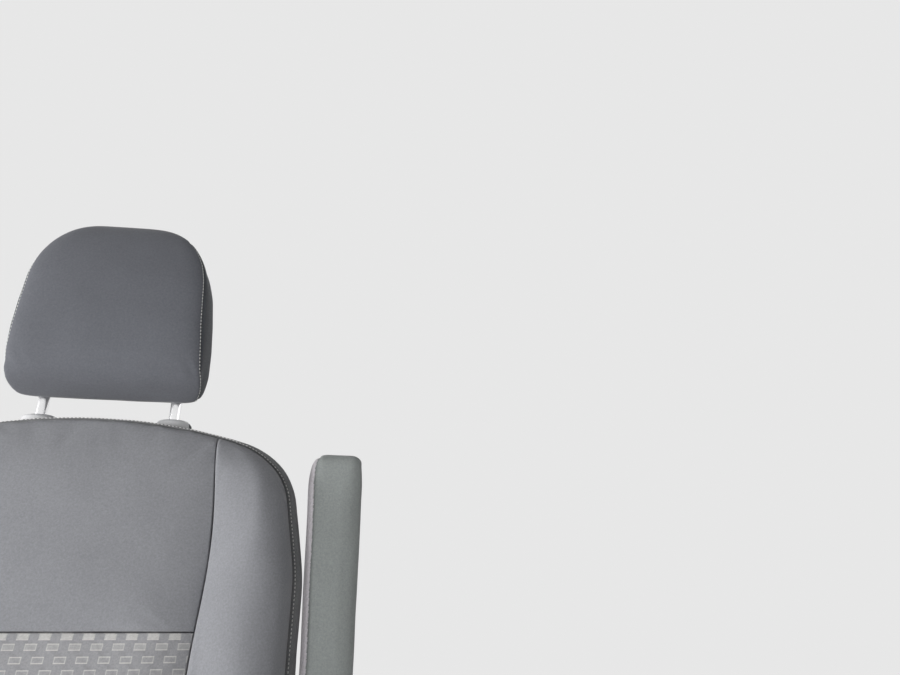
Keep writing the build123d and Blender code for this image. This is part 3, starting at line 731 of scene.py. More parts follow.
def padded_panel(name, places, rim, back):
    """A closed panel of padding: its front follows the depth of the back, its rear lies on a plane."""
    rows, columns = places.shape[:2]
    depth = front_depth(places[..., 0], places[..., 1], rim)
    front = np.concatenate((places, depth[..., None]), -1).reshape(-1, 3)
    rear = np.concatenate((places, np.full((rows, columns, 1), back)), -1).reshape(-1, 3)
    index = np.arange(rows * columns).reshape(rows, columns)
    front_faces = quads(index, (0, 0), (0, 1), (1, 1), (1, 0))
    count = index.size
    ring = np.concatenate((index[0, :-1], index[:-1, -1], index[-1, :0:-1], index[:0:-1, 0]))
    walls = np.stack((ring, np.roll(ring, -1), np.roll(ring, -1) + count, ring + count), -1)
    faces = np.concatenate((front_faces, front_faces[:, ::-1] + count, walls))
    piece = mesh_object(name, np.concatenate((front, rear)), faces.tolist(), BACK)
    held = np.ones(2 * count, bool)
    held[index[1:-1, 1:-1].ravel()] = False
    return piece, held


class SEAT_OT_back_panels(bpy.types.Operator):
    """Centre, insert and bolster panels of the back, swollen between their seams"""
    bl_idname = "seat.back_panels"
    bl_label = "Back panels"

    def execute(self, context):
        rim = rim_seam(back_rim())
        low, high = node_box("back_insert_pad", BACK)
        foot, split = low[1] + context.scene.seat_sewing.rim_inset, high[1] - SPLIT_DROP
        back = node_box("back_core", BACK)[1][2] - REAR_OVERLAP
        cloth = context.scene.seat_cloth
        plain = woven("plain_cloth", cloth.plain_colour), "plain_fabric"
        patterned = woven("block_cloth", cloth.insert_colour, rows=split + FIRST_ROW_RISE), "patterned_fabric"
        for node, name, places in self.panels(rim, foot, split):
            piece, held = padded_panel(name, places, rim, back)
            swell(piece, held, 6 * MM)
            subdivide(piece)
            soften(piece, 0.5 * MM, 45 * MM, 3.0)
            self.seam_shade(piece, split)
            material, slot = patterned if node == "back_insert_pad" else plain
            cover(piece, "backrest", material, node)
        return {"FINISHED"}

    def panels(self, rim, foot, split):
        """The CAD nodes of the four panels, their names, and the places between their seams."""
        crown = rim[rim[:, 1] > rim[:, 1].max() - 60 * MM]
        crown = crown[np.argsort(crown[:, 0])]
        half_top, half_foot, half_split = seam_x(crown[:, 1].max()), seam_x(foot), seam_x(split)
        across = np.linspace(-half_top, half_top, 60)
        crown_line = np.stack((across, np.interp(across, crown[:, 0], crown[:, 1])), 1)
        top = np.interp(half_top, crown[:, 0], crown[:, 1])

        def seam_line(low, high, sign):
            heights = np.linspace(low, high, 60)
            return np.stack((sign * seam_x(heights), heights), 1)

        level = np.array(((-half_split, split), (half_split, split)))
        foot_line = np.array(((-half_foot, foot), (half_foot, foot)))
        made = [
            ("back_center_pad", "back_center_cover",
             patch(level, crown_line, seam_line(split, top, -1), seam_line(split, top, 1),
                   *PANEL_GRIDS["center"])),
            ("back_insert_pad", "back_insert_cover",
             patch(foot_line, level, seam_line(foot, split, -1), seam_line(foot, split, 1),
                   *PANEL_GRIDS["insert"])),
        ]
        for side, sign in SIDES:
            half = rim[rim[:, 0] * sign > 0]
            half = half[np.argsort(np.arctan2(half[:, 0] * sign, -(half[:, 1] - rim[:, 1].mean())))]
            ends = (sign * half_foot, foot), (sign * half_top, top)
            first, last = (np.argmin(np.hypot(*(half - end).T)) for end in ends)
            edge = half[first:last + 1].copy()
            edge[0], edge[-1] = ends
            reach = edge[:, 0] * sign
            foot_corner = np.argmax(reach - edge[:, 1])
            shoulder = np.argmax(reach * 0.8 + edge[:, 1])
            made.append((f"back_bolster_{side}", f"back_bolster_cover_{side}", patch(
                edge[:foot_corner + 1], edge[shoulder:][::-1], seam_line(foot, top, sign),
                edge[foot_corner:shoulder + 1], *PANEL_GRIDS["bolster"])))
        return made

    def seam_shade(self, piece, split):
        """Paints shade into the seams beside the bolsters and above the insert, fainter low on the bolster seams,
        for the finish to darken the cloth.
        """
        across, along, _ = back_points(piece).T
        to_seam = np.abs(np.abs(across) - seam_x(along))
        to_insert = np.where(np.abs(across) < seam_x(along) + MM, np.abs(along - split), 1.0)
        faint = 0.5 - 0.3 * (1 - smooth_step(500 * MM, 640 * MM, along))
        paint_seam_shade(piece, np.maximum(
            ridge(to_seam, 0.7 * MM) * faint, ridge(to_insert, 0.7 * MM) * 0.35))


class SEAT_OT_core_cover(bpy.types.Operator):
    """Gusset and rear edge of the back, from the rim seam to the rear panel"""
    bl_idname = "seat.core_cover"
    bl_label = "Core cover"

    def execute(self, context):
        rim = back_rim(600)
        box = node_box("back_core", BACK)
        front, rear = box[1][2], box[0][2]
        seam = rim_seam(rim)
        inward = inset(rim, 1.0) - rim
        seam_away = np.linalg.norm(seam - rim, axis=1)
        # each corner: its share of the way from rim to seam, how much further in it lies, and its depth
        corners = [(share, away * MM, front + depth * MM) for share, away, depth in (
            (1, 26, -4), (1, 3, -3), (1, 0.4, -0.5), (1, -1, 1.3), (1, -3, 1), (0.34, 0, -0.8),
            (0.16, 0, -3.5), (0, 0.2, -9), (0, 0, -18), (0, 0, -28))]
        corners += [(0, away * MM, rear + depth * MM) for away, depth in (
            (1, 20), (3.7, 11), (8.5, 5), (15, 1.5), (21, 0), (34, 0))]
        section = rounded(np.array(corners), 36)
        lift = seam_lift(rim[:, 1])
        rings = [np.column_stack((rim + inward * (seam_away * share + away)[:, None],
                                  depth + lift * smooth_step(front - 24 * MM, front - 3 * MM, depth)))
                 for share, away, depth in section]
        count = len(rim)
        ring = np.arange(count)
        after = np.roll(ring, -1)
        faces = [quad for k in range(0, (len(rings) - 1) * count, count) for quad in np.stack(
            (k + ring, k + after, k + count + after, k + count + ring), 1).tolist()]
        faces += [ring.tolist(), ((len(rings) - 1) * count + ring).tolist()]
        piece = mesh_object("back_core_cover", np.concatenate(rings), faces, BACK)
        soften(piece, 0.7 * MM, 40 * MM, 8.0)
        local = back_points(piece)
        top = box[1][1]
        # painted shade along the rim seam on the gusset, almost none at the crown
        faint = 1 - 0.85 * smooth_step(top - 75 * MM, top - 30 * MM, local[:, 1])
        at_seam = ridge(gap_to(seam, local[:, :2]), 0.9 * MM) * (local[:, 2] > front - 4 * MM)
        paint_seam_shade(piece, at_seam * 0.75 * faint)
        # a darker copy of the plain cloth: painted shade on the gusset round the back
        gusset = woven("gusset_shaded_cloth", context.scene.seat_cloth.gusset_shaded_colour)
        cover(piece, "backrest", gusset, "back_core")
        line = np.column_stack((rim + inward * (seam_away - TOPSTITCH_AWAY)[:, None], front + lift))
        keep = line[:, 1] > box[0][1] + 20 * MM
        first = int(np.argmax(~keep & np.roll(keep, -1))) + 1
        line = np.roll(line, -first, axis=0)[:int(keep.sum())]
        stitch_row("back_topstitch", transformed(line, BACK), surface_of(piece), "backrest")
        return {"FINISHED"}


def box_grid(steps):
    """Places and faces of a box of side 2 made of six grids, closer together towards its edges."""
    t = np.tan((np.linspace(0, 1, steps + 1) - 0.5) * math.pi / 2)
    a, b = np.meshgrid(t, t, indexing="ij")
    one = np.ones_like(a)
    index = np.arange((steps + 1) ** 2).reshape(steps + 1, steps + 1)
    grid_faces = quads(index, (0, 0), (1, 0), (1, 1), (0, 1))
    places, faces = [], []
    for axis in range(3):
        for sign in (-1, 1):
            grid = np.roll(np.stack((sign * one, a, b), -1), axis, axis=-1).reshape(-1, 3)
            faces.append(grid_faces + len(places) * index.size)
            places.append(grid)
    places, same = np.unique(np.round(np.concatenate(places), 9), axis=0, return_inverse=True)
    return places, same.ravel()[np.concatenate(faces)]


# The headrest's sections, as heights above its foot and measures, in millimetres
HEADREST_MIDDLE = (
    (0, 109.2), (20, 113.4), (40, 116.6), (75, 117.6), (110, 116), (145, 112.6), (175, 106.3),
    (200, 97), (236, 88.5))  # half width at its middle
HEADREST_AHEAD = (
    (0, 127.5), (20, 121.5), (40, 117.4), (66, 114.2), (90, 111.8), (125, 110.1), (160, 109.4),
    (200, 107.8), (236, 104))  # half width that the front tends to
HEADREST_BEHIND = ((0, 3), (60, 6), (120, 10))  # how much narrower it is at the rear
HEADREST_FRONT = (  # how far its front stands forward
    (0, 6), (6, 18), (14, 35), (28, 48), (50, 56.5), (80, 62.5), (110, 65), (150, 65), (200, 61),
    (236, 58))
HEADREST_REAR = ((0, -40), (236, -20))  # and its rear
HEADREST_STEPS = 46  # faces along each edge of the box that the cover is made from
GUSSET_STEPS = 44  # the steps from the rear that belong to the gusset
GUSSET_FRONT = math.tan((GUSSET_STEPS / HEADREST_STEPS - 0.5) * math.pi / 2)
TOPSTITCH_INSIDE = 0.014  # from the gusset's seam in to its topstitch, as a share of the box


def headrest_place(course):
    """Where the headrest's surface lies in a direction from its middle, along the back's axes."""
    shape = bpy.context.scene.seat_headrest
    low, high = node_box("headrest_pad", BACK)
    course = course / np.linalg.norm(course, axis=1, keepdims=True)
    flat = np.clip((1 - course[:, 1] / np.abs(course).max(1)) / 2, 0, 1)
    girth = shape.girth * (1 + 0.75 * flat)
    square = np.where(course[:, 1] > 0, shape.shoulder, shape.foot)
    level = (np.abs(course[:, 0]) ** girth + np.abs(course[:, 2]) ** girth) ** (1 / girth)
    unit = course / ((level ** square + np.abs(course[:, 1]) ** square) ** (1 / square))[:, None]
    along = low[1] + (unit[:, 1] + 1) / 2 * (high[1] - low[1])
    rise = (along - low[1]) * 1000
    middle, ahead, behind, front, rear = (np.interp(rise, *zip(*rows)) * MM for rows in (
        HEADREST_MIDDLE, HEADREST_AHEAD, HEADREST_BEHIND, HEADREST_FRONT, HEADREST_REAR))
    depth = np.clip(unit[:, 2], -1, 1)
    wide = np.where(depth > 0, middle + (ahead - middle) * depth ** 3, middle - behind * depth ** 2)
    forward = (front + rear) / 2 + (front - rear) / 2 * depth
    forward = forward - 5 * MM * np.abs(unit[:, 0]) ** 2.4 * np.clip(depth, 0, 1)
    behind_toe = np.clip((3 * MM - forward) / (40 * MM), 0, 1.2)
    along = along + 12 * MM * behind_toe ** 1.5 * np.clip(1 - rise / 90, 0, 1)
    return np.stack((wide * unit[:, 0], along, forward), -1)


def gusset_line(sign, inside, steps=110):
    """A closed line around a headrest gusset, on the seam or a little way in on the wrapped panel."""
    t = np.tan((np.linspace(0, 1, steps) - 0.5) * math.pi / 2)
    one = np.ones(steps)
    front = GUSSET_FRONT + inside * 2
    deep = (t + 1) / 2 * (front + 1) - 1
    line = np.concatenate((
        np.stack((one, t, front * one), 1), np.stack((one - inside, one, deep[::-1]), 1),
        np.stack((one - inside, -t, -one), 1), np.stack((one - inside, -one, deep), 1)))
    line[:, 0] *= sign
    line = headrest_place(line)
    for _ in range(12):
        line = (np.roll(line, 1, axis=0) + line * 2 + np.roll(line, -1, axis=0)) / 4
    return transformed(line, BACK)


class SEAT_OT_headrest_cover(bpy.types.Operator):
    """Headrest cover: a panel wrapped round it between two gussets, with topstitched seams"""
    bl_idname = "seat.headrest_cover"
    bl_label = "Headrest cover"

    def execute(self, context):
        cloth = context.scene.seat_cloth
        box, faces = box_grid(HEADREST_STEPS)
        piece = mesh_object("headrest_cover", headrest_place(box), faces.tolist(), BACK)
        tiny = 1e-6
        on_side = np.abs(np.abs(box[:, 0]) - 1) < tiny
        at_front = np.abs(box[:, 2] - GUSSET_FRONT) < 1e-3
        at_end = (np.abs(box[:, 1]) > 1 - tiny) | (box[:, 2] < tiny - 1) | at_front
        swell(piece, (on_side & at_end) | (box[:, 1] < -1 + tiny), 3 * MM, pressure=2.4)
        # the gusset faces take the darker second cloth: painted shade on the headrest's sides
        middle = box[faces].mean(1)
        gusset = (np.abs(np.abs(middle[:, 0]) - 1) < tiny) & (middle[:, 2] < GUSSET_FRONT)
        second_material(piece, gusset)
        subdivide(piece)
        soften(piece, 0.7 * MM, 48 * MM, 5.0)
        # the gusset seams are sunk into the cover, and painted shade darkens the cloth along them
        seam_shade = np.zeros(len(piece.data.vertices))
        for _, sign in SIDES:
            dip = ridge(gap_to(gusset_line(sign, 0), read_points(piece)), 1.9 * MM)
            sink(piece, dip * 1.5 * MM)
            seam_shade = np.maximum(seam_shade, dip)
        self.roll_crease(piece)
        paint_seam_shade(piece, seam_shade ** 2 * 0.8)
        # darker copies of the plain cloth: painted shade on the headrest, deeper on its gussets
        cover(piece, "headrest", woven("headrest_shaded_cloth", cloth.headrest_shaded_colour),
              "headrest_pad", woven("headrest_gusset_shaded_cloth", cloth.headrest_gusset_shaded_colour))
        surface = surface_of(piece)
        for side, sign in SIDES:
            stitch_row(f"headrest_topstitch_{side}", gusset_line(sign, TOPSTITCH_INSIDE), surface, "headrest")
        return {"FINISHED"}

    def roll_crease(self, piece):
        """The soft fold where the front turns under, and small puckers at its ends."""
        low = node_box("headrest_pad", BACK)[0]
        across, along, forward = back_points(piece).T
        front = smooth_step(20 * MM, 40 * MM, forward)
        rise = along - low[1] - 34 * MM - 3 * MM * np.cos(across / (38 * MM))
        corner = smooth_step(70 * MM, 112 * MM, np.abs(across))
        pucker = np.sin(across / (3.1 * MM) + along / (5 * MM)) * ridge(rise, 14 * MM)
        sink(piece, front * (ridge(rise, 5 * MM) * 0.9 * MM + corner * pucker * 0.45 * MM))


def soft_copy(name, node, voxel, shrink, rounds, reach, held_below=0.0):
    """A padded piece from a CAD node: remeshed, rounded off, swollen above a height and subdivided."""
    piece = bpy.data.objects.new(name, frame["nodes"][node].data.copy())
    bpy.context.scene.collection.objects.link(piece)
    edit(piece)
    bpy.ops.mesh.remove_doubles(threshold=1e-5)
    done()
    piece.data.materials.clear()
    remesh(piece, voxel, rounds, shrink)
    swell(piece, read_points(piece)[:, 2] < held_below, reach)
    subdivide(piece)
    return piece


class SEAT_OT_armrest_cover(bpy.types.Operator):
    """Armrest cover: a face panel between side panels, its tip flared inwards"""
    bl_idname = "seat.armrest_cover"
    bl_label = "Armrest cover"

    # distance below the tip and how far the inner side flares out there, in millimetres
    flare_rows = (
        (0, 4), (6, 6.5), (21, 9.8), (41, 10.2), (70, 8.7), (104, 7.6), (145, 6.6), (185, 5.4),
        (243, 3.4), (420, 3))
    seam_inside = 6.6 * MM

    def execute(self, context):
        cloth = context.scene.seat_cloth
        piece = soft_copy("armrest_cover", "armrest_pad", 3.6 * MM, 0.9 * MM, 3, 2 * MM)
        low, high = node_box("armrest_pad", BACK)
        spread, amount = np.array(self.flare_rows).T * MM
        local = back_points(piece)
        inward = np.clip((high[0] - local[:, 0]) / (high[0] - low[0]), 0, 1)
        below_tip = high[1] - local[:, 1]
        flare = sum(np.interp(below_tip + step * MM, spread, amount) for step in range(-12, 13, 3)) / 9
        local[:, 0] -= inward * flare
        corner = 1 - smooth_step(4 * MM, 16 * MM, below_tip)
        local[:, 0] += (1 - inward) ** 2 * corner * 2.5 * MM
        write_points(piece, transformed(local, BACK))
        seam = np.abs(local[:, 0] - (low[0] - flare + self.seam_inside))
        seam = seam + np.where(local[:, 2] > -20 * MM, 0, 1)
        rear_seam = np.abs(local[:, 2] - low[2] - 9 * MM) + np.where(np.abs(inward - 0.5) > 0.4, 0, 1)
        dip = ridge(np.minimum(seam, rear_seam), 1.7 * MM)
        sink(piece, dip * 1.3 * MM)
        soften(piece, 0.4 * MM, 40 * MM, 11.0)
        # painted shade darkens the cloth in the seams
        paint_seam_shade(piece, dip ** 3 * 0.6)
        # the inner side panel takes the much lighter second cloth: painted light on it
        middle = transformed(read_all(piece.data.polygons, "center"), BACK.inverted())
        inner = low[0] - np.interp(high[1] - middle[:, 1], spread, amount) + self.seam_inside
        second_material(piece, middle[:, 0] < inner)
        # lighter copies of the plain cloth: painted light on the armrest
        cover(piece, "armrest", woven("armrest_lit_cloth", cloth.armrest_lit_colour),
              "armrest_pad", woven("armrest_side_lit_cloth", cloth.armrest_side_lit_colour))
        return {"FINISHED"}


def edit(piece, pick=None):
    """Opens a piece in edit mode with the faces that a test picks selected, or all of them."""
    only(piece)
    bpy.ops.object.mode_set(mode="EDIT")
    bpy.ops.mesh.select_all(action="DESELECT")
    bpy.ops.mesh.select_mode(type="FACE")
    made = bmesh.from_edit_mesh(piece.data)
    for face in made.faces:
        face.select_set(pick is None or pick(face))
    bmesh.update_edit_mesh(piece.data)


def done():
    """Back to object mode."""
    bpy.ops.object.mode_set(mode="OBJECT")


def push(distance, along=(0, 0, 1)):
    """Extrudes the selected faces and moves them."""
    move = tuple(distance * a for a in along)
    bpy.ops.mesh.extrude_region_move(TRANSFORM_OT_translate={"value": move})


def step_in(piece, steps, upright=0.9):
    """Insets the upper faces in steps of a width and a rise in millimetres. Width 0 extrudes."""
    edit(piece, lambda face: face.normal.z > upright)
    for width, rise in steps:
        if width:
            bpy.ops.mesh.inset(thickness=width * MM, depth=rise * MM)
        else:
            push(rise * MM)
    done()


def break_edges(piece, width, angle, segments=2):
    """Rounds the edges that are sharper than an angle in radians."""
    apply_modifier(
        piece, "BEVEL", width=width, segments=segments, limit_method="ANGLE", angle_limit=angle)


def primitive(kind, name, **settings):
    """One of Blender's basic meshes as a new object."""
    bpy.ops.object.select_all(action="DESELECT")
    getattr(bpy.ops.mesh, f"primitive_{kind}_add")(**settings)
    bpy.context.object.name = name
    return bpy.context.object


def start_round(name, radius, depth, lift, points=48):
    """An upright cylinder as a start, its middle lifted from the origin."""
    return settle(primitive(
        "cylinder", name, vertices=points, radius=radius, depth=depth, location=(0, 0, lift)))


def start_box(name, lengths, place, rounding=0.0):
    """A box as a start, with its edges rounded."""
    piece = primitive("cube", name, size=1, location=place)
    piece.scale = lengths
    settle(piece)
    if rounding:
        edit(piece)
        bpy.ops.mesh.bevel(offset=rounding, segments=4, affect="EDGES")
        done()
    return piece


def stand(piece, matrix):
    """Moves a piece made at the origin to its place."""
    piece.matrix_world = matrix
    return settle(piece)


def fit(piece, body, slot="dark_plastic", angle=35, finish_name=None):
    """Finishes a fitting, with the material that has the name of its slot unless another is named."""
    return finish(piece, body, bpy.data.materials[finish_name or slot], angle)


class SEAT_OT_headrest_sleeves(bpy.types.Operator):
    """Domed oval sleeves round the headrest posts, one with a release button"""
    bl_idname = "seat.headrest_sleeves"
    bl_label = "Headrest sleeves"

    def execute(self, context):
        height, start_radius = 13 * MM, 1 * MM
        steps = ((0.9, 2.6), (1.9, 1.9), (2.9, 1.1), (2.2, 0.25), (0, -3), (0.6, 0), (0, -4))
        upright = Matrix.Rotation(-math.pi / 2, 4, "X")
        for side, _ in SIDES:
            low, high = node_box(f"headrest_sleeve_{side}", BACK)
            centre, half = (low + high) / 2, (high - low) / 2
            place = BACK @ Matrix.Translation((centre[0], high[1] - height, centre[2])) @ upright
            sleeve = start_round(
                f"headrest_sleeve_cover_{side}", start_radius, height * 0.55, height * 0.275, 64)
            oval = half[0] / start_radius, half[2] / start_radius, 1
            write_points(sleeve, read_points(sleeve) * oval)
            step_in(sleeve, steps)
            break_edges(sleeve, 0.5 * MM, 0.7)
            fit(stand(sleeve, place), "backrest", finish_name="collar_plastic")
            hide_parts(f"headrest_sleeve_{side}")
            if side == "inboard":
                button = start_box("headrest_release_button", (11 * MM, 15 * MM, 6.5 * MM),
                                   (16 * MM, 4 * MM, 6.4 * MM), 2.4 * MM)
                step_in(button, ((1.2, 0), (0.4, -0.35)), 0.99)
                fit(stand(button, place), "backrest")
        return {"FINISHED"}


def copies(name, pattern, places):
    """One object with a copy of a pattern at each place. The pattern is removed."""
    base = read_points(pattern)
    faces = [tuple(p.vertices) for p in pattern.data.polygons]
    bpy.data.objects.remove(pattern)
    points = [transformed(base, place) for place in places]
    every = [tuple(i + k * len(base) for i in f) for k in range(len(points)) for f in faces]
    return mesh_object(name, np.concatenate(points), every)


def facing(spot, normal):
    """The place of a pattern that stands upright on a surface."""
    return Matrix.Translation(spot) @ Vector(normal).to_track_quat("Z", "Y").to_matrix().to_4x4()


class SEAT_OT_fittings(bpy.types.Operator):
    """Rear panel with its border and clips, cover screws, handwheel cap, buckle button and foot flap"""
    bl_idname = "seat.fittings"
    bl_label = "Fittings"

    clip_count = 10
    screw_places = ((-195, 284), (55, 284), (262, 398), (196, 318))  # rearwards and up, in millimetres

    def execute(self, context):
        self.rear_panel()
        self.screws()
        self.wheel_cap()
        self.buckle_button()
        self.flap()
        return {"FINISHED"}

    def rear_panel(self):
        """A moulded shell with a flat border, held by clips."""
        outline, middle = front_outline("back_rear_panel", 5)
        outline = outline[np.argsort(np.arctan2(outline[:, 0], outline[:, 1] - middle))]
        low, high = node_box("back_rear_panel", BACK)
        flat = np.column_stack((outline, np.full(len(outline), high[2])))
        panel = mesh_object("back_rear_panel_cover", flat, [tuple(range(len(flat)))], BACK)
        rearward = -BACK_FORWARD
        edit(panel)
        push(3.4 * MM, rearward)
        bpy.ops.mesh.inset(thickness=2.2 * MM)
        bpy.ops.transform.translate(value=tuple(rearward * 1.2 * MM))
        for width in (13 * MM, 2 * MM):
            bpy.ops.mesh.inset(thickness=width)
        bpy.ops.transform.translate(value=tuple(-rearward * 1.8 * MM))
        bpy.ops.mesh.select_all(action="SELECT")
        bpy.ops.mesh.normals_make_consistent(inside=False)
        done()
        break_edges(panel, 0.5 * MM, 0.5)
        fit(panel, "backrest", angle=30)
        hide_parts("back_rear_panel")
        surface = surface_of(panel)
        loop = inset(outline, 9.2 * MM)
        spots = []
        steps = (np.arange(self.clip_count) + 0.5) / self.clip_count
        for x, y in line_at(loop, steps * walked(loop)[-1]):
            spot = surface.ray_cast(BACK @ Vector((x, y, low[2] - 0.1)), BACK_FORWARD)[0]
            if spot:
                spots.append(facing(spot, rearward))
        clip = start_round("clip_pattern", 6 * MM, 1.4 * MM, 0.5 * MM, 24)
        step_in(clip, ((1.6, 0.7), (1.2, -0.5)))
        fit(copies("rear_panel_clips", clip, spots), "backrest")

    def screws(self):
        """Domed screws with sockets in the two side covers."""
        radius, height = 5.2, 2.4
        for side, sign in SIDES:
            surface = surface_of(frame["nodes"][f"side_cover_{side}"])
            spots = []
            for y, z in self.screw_places:
                start = Vector((sign, y * MM, z * MM))
                spot, normal, _, _ = surface.ray_cast(start, Vector((-sign, 0, 0)))
                if spot:
                    spots.append(facing(spot, normal))
            head = start_round("screw_pattern", radius * MM, height * MM, height * MM / 2, 24)
            step_in(head, ((radius * 0.22, height * 0.3), (radius * 0.28, 0), (0, -height * 0.8)))
            fit(copies(f"side_cover_screws_{side}", head, spots), "carriage", "zinc_steel")

    def wheel_cap(self):
        """The cap at the middle of the recline handwheel."""
        low, high = node_box("recline_handwheel")
        _, y, z = (low + high) / 2
        cap = start_round("recline_handwheel_cap", 25 * MM, 3 * MM, 0.8 * MM, 64)
        step_in(cap, ((2.5, 1.2), (2.2, -1), (9, 0), (3, 0.9)))
        break_edges(cap, 0.4 * MM, 0.6)
        fit(stand(cap, facing(Vector((low[0], y, z)), (-1, 0, 0))), "carriage", angle=30)

    def buckle_button(self):
        """The red button on top of the belt buckle."""
        low, high = node_box("belt_buckle")
        x, y, _ = (low + high) / 2
        surface = surface_of(frame["nodes"]["belt_buckle"])
        spot, normal, _, _ = surface.ray_cast(Vector((x, y - 4 * MM, 1)), Vector((0, 0, -1)))
        button = start_box("belt_buckle_button", (15 * MM, 22 * MM, 4 * MM), (0, 0, 0.6 * MM))
        step_in(button, ((1.2, 0.7), (2.4, -0.4)))
        break_edges(button, 0.6 * MM, 0.5, 3)
        coated("red_plastic", (0.42, 0.025, 0.02), 0.42, grain=1200.0)
        fit(stand(button, facing(spot, normal)), "carriage", finish_name="red_plastic")

    def flap(self):
        """The padded flap that closes the gap between the back and the cushion."""
        low = node_box("back_core", BACK)[0]
        half = node_box("recliner_plate_inboard", BACK)[0][0] - 9 * MM
        flap = start_box("back_foot_flap", (2 * half, 52 * MM, 22 * MM),
                         (0, low[1] - 16 * MM, -5 * MM), 7 * MM)
        edit(flap)
        bpy.ops.mesh.subdivide(number_cuts=3)
        done()
        stand(flap, BACK)
        remesh(flap, 4 * MM, 4)
        soften(flap, 0.9 * MM, 50 * MM, 21.0)
        paint_seam_shade(flap, np.zeros(len(flap.data.vertices)))
        lay_cloth(flap, BACK)
        # the flap takes the gusset cloth, darkened with painted shade
        fit(flap, "backrest", "plain_fabric", 60, "gusset_shaded_cloth")


class SEAT_OT_cushion_covers(bpy.types.Operator):
    """Centre and bolsters of the seat cushion"""
    bl_idname = "seat.cushion_covers"
    bl_label = "Cushion covers"

    topstitch_out = 9 * MM

    def execute(self, context):
        half, rear, _ = node_box("cushion_center")[1]
        patterned = woven("cushion_block_cloth", context.scene.seat_cloth.insert_colour, rows=rear)
        plain = bpy.data.materials["plain_cloth"]
        rows = [("cushion_center", "cushion_center_cover", patterned, "patterned_fabric")]
        rows += [(f"cushion_bolster_{side}", f"cushion_bolster_cover_{side}", plain, "plain_fabric")
                 for side, _ in SIDES]
        for node, name, material, slot in rows:
            held_below = node_box(node)[0][2] + 30 * MM
            piece = soft_copy(name, node, 6 * MM, 2.5 * MM, 4, 6 * MM, held_below)
            soften(piece, 0.7 * MM, 55 * MM, 14.0)
            # painted shade darkens the cloth along the seams of the centre and the bolsters
            paint_seam_shade(piece, ridge(np.abs(read_points(piece)[:, 0]) - half, 2.2 * MM))
            cover(piece, "carriage", material, node, axes=SEAT)
        for side, sign in SIDES:
            surface = surface_of(bpy.data.objects[f"cushion_bolster_cover_{side}"])
            line = self.seam_line(sign * (half + self.topstitch_out), surface)
            stitch_row(f"cushion_topstitch_{side}", line, surface, "carriage")
        return {"FINISHED"}

    def seam_line(self, across, surface):
        """A line over the cushion beside a seam, from its rear edge over the nose to the apron."""
        low, high = node_box("cushion_center")
        line = []
        for y in np.linspace(high[1] - 20 * MM, low[1] + 40 * MM, 90):
            line.append(surface.ray_cast(Vector((across, y, 1.0)), Vector((0, 0, -1)))[0])
        for z in np.linspace(high[2] - 30 * MM, low[2] + 45 * MM, 40):
            line.append(surface.ray_cast(Vector((across, -1.0, z)), Vector((0, 1, 0)))[0])
        return np.array([p for p in line if p is not None])


class SEAT_OT_finishes(bpy.types.Operator):
    """Finishes of the frame, rails, pedestal, posts and moulded parts"""
    bl_idname = "seat.finishes"
    bl_label = "Finishes"

    def execute(self, context):
        thread("thread", context.scene.seat_cloth.thread_colour)
        made = {
            "pedestal_paint": coated(
                "pedestal_paint", (0.055, 0.056, 0.060), 0.52, scuffs=0.5, coat=0.15),
            "frame_paint": coated("frame_paint", (0.030, 0.030, 0.032), 0.40, grain=500.0, scuffs=0.4),
            "zinc_steel": steel("zinc_steel", (0.55, 0.55, 0.54), 0.38),
            "chrome_post": coated("chrome_post", (0.95, 0.95, 0.96), 0.27, grain=300.0, relief=0.000004,
                                  scuffs=0.05, metallic=1.0),
            "dark_plastic": coated(
                "dark_plastic", (0.045, 0.046, 0.050), 0.58, grain=1500.0, relief=0.0001),
        }
        coated("collar_plastic", (0.80, 0.80, 0.81), 0.3, grain=1500.0, relief=0.00003, scuffs=0.05)
        for row in frame["record"]["subparts"]:
            node = frame["nodes"][row["node"]]
            material = made.get(row["material_slot"])
            if material:
                node.data.materials.clear()
                node.data.materials.append(material)
        return {"FINISHED"}


